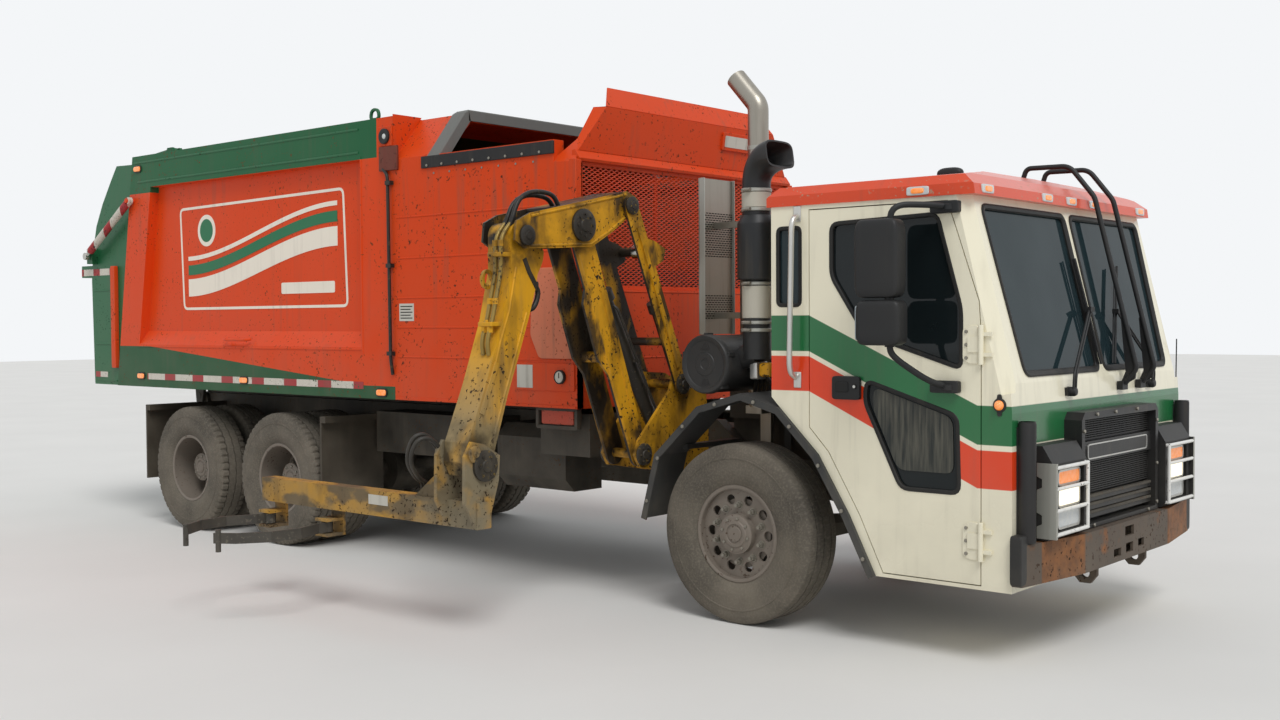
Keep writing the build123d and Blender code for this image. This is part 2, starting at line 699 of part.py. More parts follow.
# Exhaust stack behind the cab, with its heat shield and brackets
def exhaust_stack():
    x, y, r = -270, -560, 66
    stack = bent_tube([(x, y, 1240), (x, y, 3140), (x - 170, y, 3330)], r, [90])
    can = rod((x, y, 1500), (x, y, 2450), 118)
    shield = box((-640, -610), (-700, -380), (1700, 2700))
    for z in (1800, 2380):
        stay = box((-625, x), (y - 20, y + 20), (z, z + 40))
        stack += stay
    stand = box((-330, -210), (-RAIL_OUT_Y - 190, -RAIL_OUT_Y), (1200, 1250))
    post = box((-330, -250), (-RAIL_OUT_Y - 30, -RAIL_OUT_Y), (FRONT_RAIL_BOTTOM + 30, 1250))
    return stack + can + shield + stand + post


NODES["exhaust_stack"] = exhaust_stack()


# Air intake: snorkel, pre-cleaner, elbow and filter canister
def air_intake():
    y = INTAKE_Y
    x = 60
    pipe = bent_tube([(x, y, 1560), (x, y, 2710), (240, y, 2710)], 84, [110])
    hood = side_plate([(150, 2590), (300, 2630), (330, 2800), (180, 2800), (100, 2760)],
                      y - 100, y + 100)
    can = rod((x, y, 2030), (x, y, 2360), 112)
    filt = bar_y(-190, 1530, y - 175, y + 280, 172)
    neck = rod((x, y, 1600), (-150, y, 1530), 70)
    stay = box((-145, -95), (y + 270, -RAIL_OUT_Y), (1440, 1490))
    post = box((-145, -95), (-RAIL_OUT_Y - 30, -RAIL_OUT_Y), (FRONT_RAIL_BOTTOM + 30, 1490))
    return pipe + hood + can + filt + neck + stay + post


NODES["air_intake"] = air_intake()


# Doors, with their glass and mirrors; made on the right, mirrored to the left
def door_panel():
    y0, y1 = -CAB_HALF, -CAB_HALF + DOOR_T
    panel = side_plate(DOOR_OUTLINE, y0, y1)
    panel -= window_cut(DOOR_WINDOW, 45, y0 - 5, y1 + 5)
    panel -= window_cut(KICK_WINDOW, 35, y0 - 5, y1 + 5)
    for z in (650, 1660):
        y = -CAB_HALF - HINGE_OUT
        barrel = rod((HINGE_X, y, z - 40), (HINGE_X, y, z + 40), HINGE_R)
        strap = box((HINGE_X - 75, HINGE_X - 2), (y, -CAB_HALF + 2), (z - 40, z + 40))
        panel += barrel + strap
    handle = box((705, 850), (-CAB_HALF - 22, -CAB_HALF + 2), (1375, 1465))
    return panel + handle


def door_glass():
    y0, y1 = -CAB_HALF + 16, -CAB_HALF + 16 + GLASS_T
    return group(window_cut(DOOR_WINDOW, 45, y0, y1, grow=-SEAT),
                 window_cut(KICK_WINDOW, 35, y0, y1, grow=-SEAT))


def door_mirrors():
    y_door, y = -CAB_HALF, -MIRROR_Y
    upper = box((1010, 1255), (y - 55, y + 50), (1905, 2300))
    lower = box((1020, 1265), (y - 55, y + 55), (1660, 1885))
    top_arm = rod((1400, y_door - 20, 2370), (1190, y, 2370), 15)
    top_drop = rod((1190, y, 2385), (1190, y, 1620), 15)
    low_arm = rod((1190, y, 1635), (1395, y_door - 20, 1440), 15)
    plate_top = box((1310, 1450), (y_door - 38, y_door), (2340, 2396))
    plate_low = box((1310, 1450), (y_door - 38, y_door), (1410, 1468))
    return upper + lower + top_arm + top_drop + low_arm + plate_top + plate_low


for name, shape in (("door", door_panel()), ("door_glass", door_glass()),
                    ("mirrors", door_mirrors())):
    NODES[name + "_right"] = shape
    NODES[name + "_left"] = mirrored(shape)


# Steering knuckles: fork over the kingpin boss, spindle and arm
def knuckle():
    y = -KINGPIN_Y
    fork = None
    for z0, z1 in ((430, 470 - SEAT), (596 + SEAT, 636)):
        ear = box((-52, 52), (y - 90, y + 46), (z0, z1))
        fork = ear if fork is None else fork + ear
    yoke = box((-60, 60), (y - 110, y - 56), (430, 636))
    spindle = bar_y(0, TYRE_R, y - 100, -WHEEL_OUT_Y + 60, SPINDLE_R)
    arm = box((-260, -30), (y - 30, y + 30), (430, 460))
    whole = fork + yoke + spindle + arm
    return whole - rod((0, y, 300), (0, y, 700), KINGPIN_R + PIN_PLAY)


NODES["knuckle_right"] = knuckle()
NODES["knuckle_left"] = mirrored(knuckle())


# Wheels: one outline turned about the axle, as (distance along the axle, radius)
def turned(outline, x, y, z):
    face = make_face(Polyline(*[(0, a, r) for a, r in outline], close=True).edges())
    solid = revolve(face, axis=Axis.Y, revolution_arc=360)
    return Pos(x, y, z) * solid


def tyre(x, y_middle, width):
    half = width / 2
    inner = RIM_R + SEAT
    outline = [(-half + 32, inner), (half - 32, inner), (half, inner + 95), (half - 6, 485),
               (half - 30, TYRE_R), (-half + 30, TYRE_R), (-half + 6, 485), (-half, inner + 95)]
    return turned(outline, x, y_middle, TYRE_R)


def rim_barrel(x, y_middle, width):
    half = width / 2 - 34
    outline = [(-half, RIM_R - RIM_WALL), (half, RIM_R - RIM_WALL), (half, RIM_R), (-half, RIM_R)]
    return turned(outline, x, y_middle, TYRE_R)


def disc(x, y):
    """Wheel disc with a ring of hand holes."""
    plate = bar_y(x, TYRE_R, y - DISC_T / 2, y + DISC_T / 2, RIM_R - RIM_WALL + 2)
    for k in range(HAND_HOLES):
        a = 2 * math.pi * (k + 0.5) / HAND_HOLES
        hx = x + HAND_HOLE_PCR * math.sin(a)
        hz = TYRE_R + HAND_HOLE_PCR * math.cos(a)
        plate -= bar_y(hx, hz, y - 40, y + 40, HAND_HOLE_R)
    return plate


def front_rim(side):
    y = side * (WHEEL_OUT_Y - FRONT_TYRE_W / 2)
    barrel = rim_barrel(0, y, FRONT_TYRE_W)
    face = disc(0, side * (WHEEL_OUT_Y - 72))
    hub = bar_y(0, TYRE_R, side * (WHEEL_OUT_Y - 200), side * (WHEEL_OUT_Y - 22), HUB_R)
    drum = bar_y(0, TYRE_R, side * (WHEEL_OUT_Y - 210), side * (WHEEL_OUT_Y - 90), DRUM_R)
    bore = bar_y(0, TYRE_R, side * (WHEEL_OUT_Y - 300), side * (WHEEL_OUT_Y - 52),
                 SPINDLE_R + PIN_PLAY)
    return barrel + face + hub + drum - bore


def dual_wheel(x, side):
    outer = side * (DUAL_OUT_Y - REAR_TYRE_W / 2)
    inner = outer - side * DUAL_SPACING
    tyres = group(tyre(x, outer, REAR_TYRE_W), tyre(x, inner, REAR_TYRE_W))
    middle = (outer + inner) / 2
    rims = rim_barrel(x, outer, REAR_TYRE_W) + rim_barrel(x, inner, REAR_TYRE_W)
    for offset in (-DISC_T / 2, DISC_T / 2):
        rims += disc(x, middle + offset)
    skirt_half = DUAL_SPACING / 2 - REAR_TYRE_W / 2 + 36
    rims += (bar_y(x, TYRE_R, middle - skirt_half, middle + skirt_half, RIM_R)
             - bar_y(x, TYRE_R, middle - skirt_half - 1, middle + skirt_half + 1, RIM_R - RIM_WALL))
    rims += bar_y(x, TYRE_R, middle - side * 150, middle + side * 170, HUB_R)
    rims += bar_y(x, TYRE_R, middle - side * 190, middle - side * 20, DRUM_R)
    rims -= bar_y(x, TYRE_R, middle - side * 260, side * (DUAL_OUT_Y - 172), SPINDLE_R + PIN_PLAY)
    return tyres, rims


for name, side in (("right", -1), ("left", 1)):
    y = side * (WHEEL_OUT_Y - FRONT_TYRE_W / 2)
    NODES["tyre_front_" + name] = tyre(0, y, FRONT_TYRE_W)
    NODES["rim_front_" + name] = front_rim(side)
    for number, x in enumerate(REAR_AXLES_X, 1):
        tyres, rims = dual_wheel(x, side)
        NODES[f"tyres_rear_{number}_{name}"] = tyres
        NODES[f"rims_rear_{number}_{name}"] = rims


# Tipping body: floor with runners and hinge lugs
def body_floor():
    inner = BODY_HALF - BODY_WALL
    floor = box((BODY_REAR_X + 10, HOPPER_FRONT_X - HOPPER_WALL), (-inner, inner),
                (BODY_BOTTOM, BODY_BOTTOM + FLOOR_T))
    for side in (-1, 1):
        y = sorted((side * (RAIL_OUT_Y - RAIL_W), side * RAIL_OUT_Y))
        floor += box((TILT_X + 40, HOPPER_FRONT_X - 100), y, (RUNNER_BOTTOM, BODY_BOTTOM + 1))
        lug = side_plate([(TILT_X - 70, BODY_BOTTOM + 1), (TILT_X + 90, BODY_BOTTOM + 1),
                          (TILT_X + 50, TILT_Z - 60), (TILT_X - 50, TILT_Z - 60)],
                         *sorted((side * (RAIL_OUT_Y + 36), side * (RAIL_OUT_Y + 66))))
        floor += lug - bar_y(TILT_X, TILT_Z, side * 300, side * 700, TILT_PIN_R + PIN_PLAY)
        for y in (HOIST_Y - 75, HOIST_Y + 45):
            ear = side_plate([(HOIST_EYE[0] - 90, BODY_BOTTOM + 1), (HOIST_EYE[0] + 90, BODY_BOTTOM + 1),
                              (HOIST_EYE[0] + 45, HOIST_EYE[1] - 45),
                              (HOIST_EYE[0] - 45, HOIST_EYE[1] - 45)],
                             *sorted((side * y, side * (y + 30))))
            floor += ear
    return floor


NODES["body_floor"] = body_floor()


# Body shell: two ribbed side walls and the roof, open at both ends
def body_shell():
    outline = [(BODY_REAR_X, BODY_BOTTOM), (BODY_FRONT_X, BODY_BOTTOM), (BODY_FRONT_X, BODY_TOP),
               (BODY_REAR_TOP_X, BODY_TOP)]
    shell = side_plate(outline, -BODY_HALF, BODY_HALF)
    shell -= box((BODY_REAR_X - 100, BODY_FRONT_X + 100),
                 (-BODY_HALF + BODY_WALL, BODY_HALF - BODY_WALL), (BODY_BOTTOM - 10, BODY_TOP - ROOF_T))
    for side in (-1, 1):
        edge = side * (BODY_HALF + 20)
        deep = side * (BODY_HALF - PANEL_RECESS)
        high = BODY_TOP - 285
        trough = cross_plate([(edge, high), (deep, high), (deep, 1720), (side * BODY_HALF, 1600),
                              (edge, 1600)], -6640, -3430)
        window = side_plate([(-6395, high + 50), (-3430, high + 50), (-3430, 1560), (-6640, 1560)],
                            *sorted((0, side * (BODY_HALF + 180))))
        shell -= trough & window
        # Clevis for the tailgate hinge
        reach = GATE_ARM_T / 2 + GAP
        for y in (GATE_ARM_Y - reach - CLEVIS_T, GATE_ARM_Y + reach):
            lug = side_plate([(GATE_HINGE_X - 90, BODY_TOP - 2), (GATE_HINGE_X + 90, BODY_TOP - 2),
                              (GATE_HINGE_X + 40, GATE_HINGE_Z + 45),
                              (GATE_HINGE_X - 40, GATE_HINGE_Z + 45)],
                             *sorted((side * y, side * (y + CLEVIS_T))))
            shell += lug
        pin = [side * (GATE_ARM_Y + k * (reach + CLEVIS_T)) for k in (-1, 1)]
        shell += bar_y(GATE_HINGE_X, GATE_HINGE_Z, *pin, GATE_PIN_R)
        # Pin for the tailgate cylinder
        shell += bar_y(*GATE_CYL_BASE, side * (BODY_HALF - 5), side * (GATE_CYL_Y + 34), 20)
    return shell


NODES["body_shell"] = body_shell()


# Hopper: side walls, rear bridge, front frame, lower panel and hood
def hopper_walls():
    rear, front = BODY_FRONT_X, HOPPER_FRONT_X
    whole = None
    for side in (-1, 1):
        y = sorted((side * (BODY_HALF - HOPPER_WALL), side * BODY_HALF))
        wall = side_plate([(rear, BODY_BOTTOM), (front, BODY_BOTTOM), (front, 2830),
                           (front - 90, SILL_TOP), (rear, SILL_TOP)], *y)
        sill = box((-2740, -1310), sorted((side * (BODY_HALF - 95), side * (BODY_HALF))),
                   (2880, SILL_TOP))
        wall += sill
        whole = wall if whole is None else whole + wall
        # Chamfered shoulder at the rear of the opening
        top = BODY_HALF - 320
        shoulder = cross_plate([(side * BODY_HALF, SILL_TOP - 1), (side * (top + 60), BODY_TOP - 5),
                                (side * top, BODY_TOP - 5), (side * top, BODY_TOP - 60),
                                (side * (BODY_HALF - HOPPER_WALL), SILL_TOP - 20)], rear, -2560)
        whole += shoulder
        # Hood wing at the front corner
        wing = side_plate([(front, 2820), (front - 240, SILL_TOP - 30), (front - 150, 3180),
                           (front - 40, 3180)],
                          *sorted((side * (BODY_HALF - 60), side * (BODY_HALF - 30))))
        whole += wing
    bridge = BODY_HALF - 318
    whole += box((rear, -2560), (-bridge, bridge), (BODY_TOP - 60, BODY_TOP - 5))
    # Front face: lower panel, two posts, top rail and hood
    whole += box((front - 60, front), (-BODY_HALF, BODY_HALF), (BODY_BOTTOM, 2000))
    for side in (-1, 1):
        whole += box((front - 60, front), sorted((side * (BODY_HALF - 60), side * BODY_HALF)),
                     (1990, 2830))
    whole += box((front - 60, front), (-BODY_HALF + 30, BODY_HALF - 30), (2820, 2890))
    edge = [(BODY_HALF - 30, 2880), (BODY_HALF - 220, 3190), (BODY_HALF - 330, 3320)]
    whole += cross_plate(edge + [(-y, z) for y, z in edge[::-1]], front - 42, front - 12)
    whole += side_plate([(front - 42, 3200), (front - 12, 3190), (front - 80, 3325),
                         (front - 110, 3325)], -BODY_HALF + 320, BODY_HALF - 320)
    return whole


NODES["hopper_walls"] = hopper_walls()

NODES["hopper_screen"] = box((HOPPER_FRONT_X - 40, HOPPER_FRONT_X - 25),
                             (-BODY_HALF + 60, BODY_HALF - 60), (2000, 2820))

# Packing panel that slides back through the hopper
def packer_panel():
    floor = BODY_BOTTOM + FLOOR_T
    half = BODY_HALF - HOPPER_WALL - 80
    panel = box((-1560, -1440), (-half, half), (floor + GAP, 2150))
    panel += box((-1900, -1560), (-half, half), (floor + GAP, 1420))
    rib = side_plate([(-1561, 1400), (-1880, 1419), (-1561, 1900)], half - 70, half - 30)
    shoe = box((-1880, -1460), (half - 120, half - 40), (floor + SEAT, floor + GAP + 10))
    return panel + rib + mirrored(rib) + shoe + mirrored(shoe)


NODES["packer_panel"] = packer_panel()


# Tailgate: a hollow curved door with hinge arms, shelf and latch bars
def gate_front_x(z):
    """Where the tailgate's front face lies, just behind the body's slanted rear edge."""
    slope = (BODY_REAR_TOP_X - BODY_REAR_X) / (BODY_TOP - BODY_BOTTOM)
    return BODY_REAR_X + (z - BODY_BOTTOM) * slope - 8


def gate_outline(inset):
    i = inset
    low, top = BODY_BOTTOM, GATE_TOP
    return [(gate_front_x(low) + i, low + i), (gate_front_x(top) + i * 0.3, top - i),
            (-7060 + i * 0.3, top + 10 - i), (-7165 + i, top - 115 - i * 0.3),
            (-7330 + i, top - 325), (-7450 + i, top - 525), (-7525 + i, 2450),
            (-7550 + i, 2200), (-7520 + i, low + i)]


def tailgate():
    shell = side_plate(gate_outline(0), -GATE_HALF, GATE_HALF)
    hollow = gate_outline(GATE_WALL)
    hollow[0] = (-6900, BODY_BOTTOM + GATE_WALL)
    hollow[1] = (-6600, GATE_TOP - GATE_WALL)
    shell -= side_plate(hollow, -GATE_HALF + GATE_WALL, GATE_HALF - GATE_WALL)
    shell += box((-7740, -7500), (-GATE_HALF, GATE_HALF), (2225, 2335))
    for side in (-1, 1):
        y = (side * GATE_ARM_Y - GATE_ARM_T / 2, side * GATE_ARM_Y + GATE_ARM_T / 2)
        under = BODY_TOP + 8
        arm = side_plate([(-7000, GATE_TOP - 25), (-6745, GATE_TOP - 20), (-6728, under),
                          (GATE_HINGE_X + 10, under),
                          (GATE_HINGE_X + 45, GATE_HINGE_Z), (GATE_HINGE_X + 10, GATE_HINGE_Z + 45),
                          (-6800, GATE_HINGE_Z + 20)], *y)
        arm -= bar_y(GATE_HINGE_X, GATE_HINGE_Z, *sorted((0, side * BODY_HALF)),
                     GATE_PIN_R + PIN_PLAY)
        shell += arm
        lug = side_plate([(-7440, 2490), (-7540, 2490), (-7540, 2350), (-7440, 2350)],
                         *sorted((side * (GATE_HALF - 5), side * (GATE_CYL_Y - 30))))
        shell += lug
        bar = box((-7120, -7070), sorted((side * (GATE_HALF - 5), side * (GATE_HALF + 22))),
                  (1400, 2300))
        shell += bar
    return shell


NODES["tailgate"] = tailgate()


def along(p, q, distance):
    """A point at a distance from p towards q, both (X or Y, Z)."""
    run = math.hypot(q[0] - p[0], q[1] - p[1])
    return (p[0] + (q[0] - p[0]) * distance / run, p[1] + (q[1] - p[1]) * distance / run)


def span(p, q):
    return math.hypot(q[0] - p[0], q[1] - p[1])


def side_cylinder(base, eye, y, radius, rod_radius, pin, eye_r, thick, stroke_room):
    """Barrel and rod of a cylinder that lies in an X-Z plane at height y."""
    length = span(base, eye)
    tail = along(base, eye, eye_r * 0.7)
    mouth = along(base, eye, length - stroke_room)
    barrel = rod((tail[0], y, tail[1]), (mouth[0], y, mouth[1]), radius)
    barrel += bar_y(*base, y - thick / 2, y + thick / 2, eye_r)
    inner_end = along(base, eye, length - 60)
    cavity_start = along(base, eye, eye_r + 30)
    barrel -= rod((cavity_start[0], y, cavity_start[1]), (inner_end[0], y, inner_end[1]),
                  rod_radius + PIN_PLAY)
    barrel -= bar_y(*base, y - thick, y + thick, pin + PIN_PLAY)
    start = along(base, eye, eye_r + 60)
    stem = rod((start[0], y, start[1]), (eye[0], y, eye[1]), rod_radius)
    stem += bar_y(*eye, y - thick / 2, y + thick / 2, eye_r)
    return barrel, stem


gate_barrel, gate_rod = side_cylinder(GATE_CYL_BASE, GATE_CYL_EYE, -GATE_CYL_Y, GATE_CYL_R,
                                      GATE_ROD_R, 20, 33, 40, 90)
NODES["gate_cylinder_barrels"] = both_sides(gate_barrel)
NODES["gate_cylinder_rods"] = both_sides(gate_rod)

hoist_barrel, hoist_rod = side_cylinder(HOIST_BASE, HOIST_EYE, -HOIST_Y, HOIST_R, HOIST_ROD_R,
                                        24, 52, 80, 110)
NODES["hoist_barrels"] = both_sides(hoist_barrel)
NODES["hoist_rods"] = both_sides(hoist_rod)


# Arm base: two plates bolted to the rail, cross box and pins
def arm_base():
    outline = [(-RAIL_OUT_Y, 868), (-RAIL_OUT_Y, 1125), (-470, 1395), (-560, 1440), (-790, 1455),
               (-830, 1340), (-1140, 1040), (-1180, 950), (-1130, 872), (-700, 800)]
    plates = pair_about_arm(lambda a, b: cross_plate(outline, a, b), BASE_IN, BASE_OUT)
    whole = plates[0] + plates[1]
    whole += box((ARM_X - BASE_OUT, ARM_X + BASE_OUT), (-640, -RAIL_OUT_Y), (870, 940))
    whole += box((ARM_X - BASE_OUT, ARM_X + BASE_OUT), (-470, -RAIL_OUT_Y), (870, 1120))
    for pivot in (BOOM_BASE, LIFT_BASE, REACH_BASE):
        whole += bar_x(*pivot, ARM_X - BASE_OUT, ARM_X + BASE_OUT, ARM_PIN_R)
    whole += bar_x(*LINK_BASE, ARM_X - LINK_OUT - 8, ARM_X + LINK_OUT + 8, ARM_PIN_R)
    return whole


NODES["arm_base"] = arm_base()


# Boom: two plates joined by a cross tube, on the base pin
def boom():
    belly = [(-1560, 2140), (-1605, 1890), (-1480, 1560), (-1330, 1400), (-1230, 1300), (-1300, 1700),
             (-1440, 2060)]
    plates = pair_about_arm(lambda a, b: capsule(BOOM_BASE, BOOM_HEAD, 78, 92, a, b)
                            + cross_plate(belly, a, b), BOOM_IN, BOOM_OUT)
    whole = plates[0] + plates[1]
    half = (BOOM_BASE[0] * 0.55 + BOOM_HEAD[0] * 0.45, BOOM_BASE[1] * 0.55 + BOOM_HEAD[1] * 0.45)
    whole += bar_x(half[0] - 42, half[1] - 18, ARM_X - BOOM_IN - 1, ARM_X + BOOM_IN + 1, 34)
    whole -= bar_x(*BOOM_BASE, ARM_X - 300, ARM_X + 300, ARM_PIN_R + PIN_PLAY)
    whole += bar_x(*BOOM_HEAD, ARM_X - TOP_OUT - 10, ARM_X + TOP_OUT + 10, ARM_PIN_R)
    for side in (-1, 1):
        whole += bar_x(*LIFT_EYE, *sorted((ARM_X + side * (EYE_HALF + GAP), ARM_X + side * (BOOM_IN + 1))),
                       34)
    return whole


NODES["boom"] = boom()


# Link beside the boom, with an ear for the reach cylinder
def boom_link():
    plates = pair_about_arm(lambda a, b: capsule(LINK_BASE, LINK_HEAD, 62, 60, a, b),
                            LINK_IN, LINK_OUT)
    whole = plates[0] + plates[1]
    whole -= bar_x(*LINK_BASE, ARM_X - 300, ARM_X + 300, ARM_PIN_R + PIN_PLAY)
    low = along(LINK_BASE, LINK_HEAD, 300)
    whole += bar_x(*low, ARM_X - LINK_IN - 1, ARM_X + LINK_IN + 1, 26)
    ears = pair_about_arm(lambda a, b: cross_plate(
        [(-1180, 2320), (-1010, 2290), (-905, 2245), (-925, 2170), (-1090, 2090)], a, b),
        LINK_IN, LINK_OUT)
    whole = whole + ears[0] + ears[1]
    for side in (-1, 1):
        whole += bar_x(*REACH_EYE, *sorted((ARM_X + side * (EYE_HALF + GAP),
                                            ARM_X + side * (LINK_IN + 1))), 30)
    return whole


NODES["boom_link"] = boom_link()


# Top link: a box beam over the boom's head
def top_link():
    outline = [(-2200, 2250), (-2185, 2360), (-2080, 2410), (-1700, 2490), (-1240, 2590),
               (-1160, 2560), (-1165, 2470), (-1380, 2330), (-1560, 2235), (-1900, 2215),
               (-2120, 2205)]
    plates = pair_about_arm(lambda a, b: cross_plate(outline, a, b), TOP_IN, TOP_OUT)
    whole = plates[0] + plates[1]
    skin = cross_plate([(-1850, 2458), (-1700, 2490), (-1240, 2590), (-1240, 2574),
                        (-1700, 2474), (-1850, 2442)], ARM_X - TOP_IN - 1, ARM_X + TOP_IN + 1)
    whole += skin
    whole += bar_x(*ELBOW, ARM_X - TOP_OUT - 12, ARM_X + TOP_OUT + 12, ARM_PIN_R)
    whole += bar_x(*LINK_HEAD, ARM_X - TOP_OUT - 4, ARM_X + TOP_OUT + 4, 24)
    whole -= bar_x(*BOOM_HEAD, ARM_X - 300, ARM_X + 300, ARM_PIN_R + PIN_PLAY)
    return whole


NODES["top_link"] = top_link()


# Forearm: tapered box beam from the elbow down to the wrist
def forearm():
    beam = cross_plate([(-2188, 2290), (-2190, 2080), (-2262, 1790), (-2392, 1440), (-2530, 1120),
                        (-2540, 1010), (-2500, 930), (-2400, 915), (-2350, 1000), (-2221, 1377),
                        (-2137, 1583), (-2052, 1806), (-1994, 1979), (-1972, 2080), (-2040, 2240)],
                       ARM_X - FOREARM_HALF, ARM_X + FOREARM_HALF)
    beam -= cross_plate([(-2168, 2050), (-2245, 1782), (-2374, 1435), (-2484, 1180), (-2312, 1180),
                         (-2240, 1385), (-2157, 1590), (-2072, 1812), (-2016, 1990), (-2006, 2050)],
                        ARM_X - FOREARM_HALF + FOREARM_WALL, ARM_X + FOREARM_HALF - FOREARM_WALL)
    beam += bar_x(*ELBOW, ARM_X - FOREARM_HALF, ARM_X + FOREARM_HALF, 78)
    beam -= bar_x(*ELBOW, ARM_X - 300, ARM_X + 300, ARM_PIN_R + PIN_PLAY)
    beam += bar_x(*WRIST, ARM_X - 150, ARM_X + 150, ARM_PIN_R)
    return beam


NODES["forearm"] = forearm()


def arm_cylinder(base, eye, radius, rod_radius, eye_r, stroke_room, retract):
    """Barrel and rod of a cylinder in the arm's plane."""
    length = span(base, eye)
    tail = along(base, eye, eye_r * 0.7)
    mouth = along(base, eye, length - stroke_room)
    barrel = rod((ARM_X, *tail), (ARM_X, *mouth), radius)
    barrel += bar_x(*base, ARM_X - EYE_HALF, ARM_X + EYE_HALF, eye_r)
    start = along(base, eye, eye_r + 60 + retract)
    bore_end = along(base, eye, length - 40)
    bore_start = along(base, eye, eye_r + 30)
    barrel -= rod((ARM_X, *bore_start), (ARM_X, *bore_end), rod_radius + PIN_PLAY)
    barrel -= bar_x(*base, ARM_X - 200, ARM_X + 200, ARM_PIN_R + PIN_PLAY)
    stem = rod((ARM_X, *start), (ARM_X, *eye), rod_radius)
    stem += bar_x(*eye, ARM_X - EYE_HALF, ARM_X + EYE_HALF, eye_r)
    return barrel, stem


NODES["lift_barrel"], NODES["lift_rod"] = arm_cylinder(LIFT_BASE, LIFT_EYE, LIFT_R, LIFT_ROD_R,
                                                       50, 370, LIFT_RETRACT)
NODES["reach_barrel"], NODES["reach_rod"] = arm_cylinder(REACH_BASE, REACH_EYE, REACH_R,
                                                         REACH_ROD_R, 46, 360, REACH_RETRACT)


# Grabber: wrist cheeks, the long beam and the finger brackets
def grabber_beam():
    x_rear, x_front = -2830, -780
    beam = box((x_rear, x_front), BEAM_Y, BEAM_Z)
    beam -= box((x_rear - 5, x_front - 120), (BEAM_Y[0] + 14, BEAM_Y[1] - 14),
                (BEAM_Z[0] + 14, BEAM_Z[1] - 14))
    cheeks = pair_about_arm(lambda a, b: cross_plate(
        [(-2500, 640), (-2585, 790), (-2580, 1050), (-2530, 1130), (-2440, 1110), (-2320, 1040),
         (-2330, 900), (-2390, 720), (-2390, 640)], a, b), FOREARM_HALF + 10, FOREARM_HALF + 34)
    cheek = cheeks[0] + cheeks[1]
    cheek -= bar_x(*WRIST, ARM_X - 300, ARM_X + 300, ARM_PIN_R + PIN_PLAY)
    whole = beam + cheek
    whole += side_plate([(-1045, 788), (-1045, 1000), (-1330, 788)], BEAM_Y[0] + 20, BEAM_Y[0] + 34)
    for x in FINGER_HINGE_X:
        for z in (FINGER_Z[0] - 24, FINGER_Z[1] + 6):
            whole += box((x - 60, x + 60), (FINGER_HINGE_Y - 45, BEAM_Y[1]), (z, z + 18))
        whole += box((x - 60, x + 60), (BEAM_Y[1] - 18, BEAM_Y[1]), (FINGER_Z[0] - 24, BEAM_Z[0] + 1))
        whole += rod((x, FINGER_HINGE_Y, FINGER_Z[0] - 24), (x, FINGER_HINGE_Y, FINGER_Z[1] + 24), 20)
    return whole


NODES["grabber_beam"] = grabber_beam()


# Fingers: flat bars that wrap the bin, with a clawed plate at each tip
def finger(front):
    sign = 1 if front else -1
    hinge_x = FINGER_HINGE_X[0] if front else FINGER_HINGE_X[1]
    z0, z1 = FINGER_Z
    cx, cy = BIN_CENTRE
    def ring_point(r, degrees):
        a = math.radians(degrees)
        return (cx + sign * r * math.cos(a), cy + r * math.sin(a))
    arc = [ring_point(GRIP_R + FINGER_T, d) for d in (36, 8, -20, -48, -68)]
    back = [ring_point(GRIP_R, d) for d in (-68, -48, -20, 8, 36)]
    band = plan_plate(arc + back, z0, z1)
    knuckle_x = hinge_x
    boss = rod((knuckle_x, FINGER_HINGE_Y, z0), (knuckle_x, FINGER_HINGE_Y, z1), 36)
    start = ring_point(GRIP_R, 36)
    start_out = ring_point(GRIP_R + FINGER_T, 36)
    root = plan_plate([start, start_out, (knuckle_x + sign * 34, FINGER_HINGE_Y + 8),
                       (knuckle_x + sign * 4, FINGER_HINGE_Y + 32)], z0, z1)
    tip = ring_point(GRIP_R + 8, -64)
    plate = rod((tip[0], tip[1], z0 - 50), (tip[0], tip[1], z1 + 20), 16)
    whole = band + boss + root + plate
    return whole - rod((knuckle_x, FINGER_HINGE_Y, z0 - 90), (knuckle_x, FINGER_HINGE_Y, z1 + 90),
                       20 + PIN_PLAY)


NODES["finger_front"] = finger(True)
NODES["finger_rear"] = finger(False)

os.makedirs("parts", exist_ok=True)
for node_name, node_shape in NODES.items():
    export_step(node_shape, f"parts/{node_name}.step")
print(len(NODES), "pieces written")
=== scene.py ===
# %% [markdown]
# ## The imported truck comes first
# The truck was drawn as solids and packed, and this script only dresses it. The
# loading arm is on the right side, at negative Y.

# %% Load the model
import math

import bmesh
import bpy
import numpy as np
from mathutils import Matrix, Vector


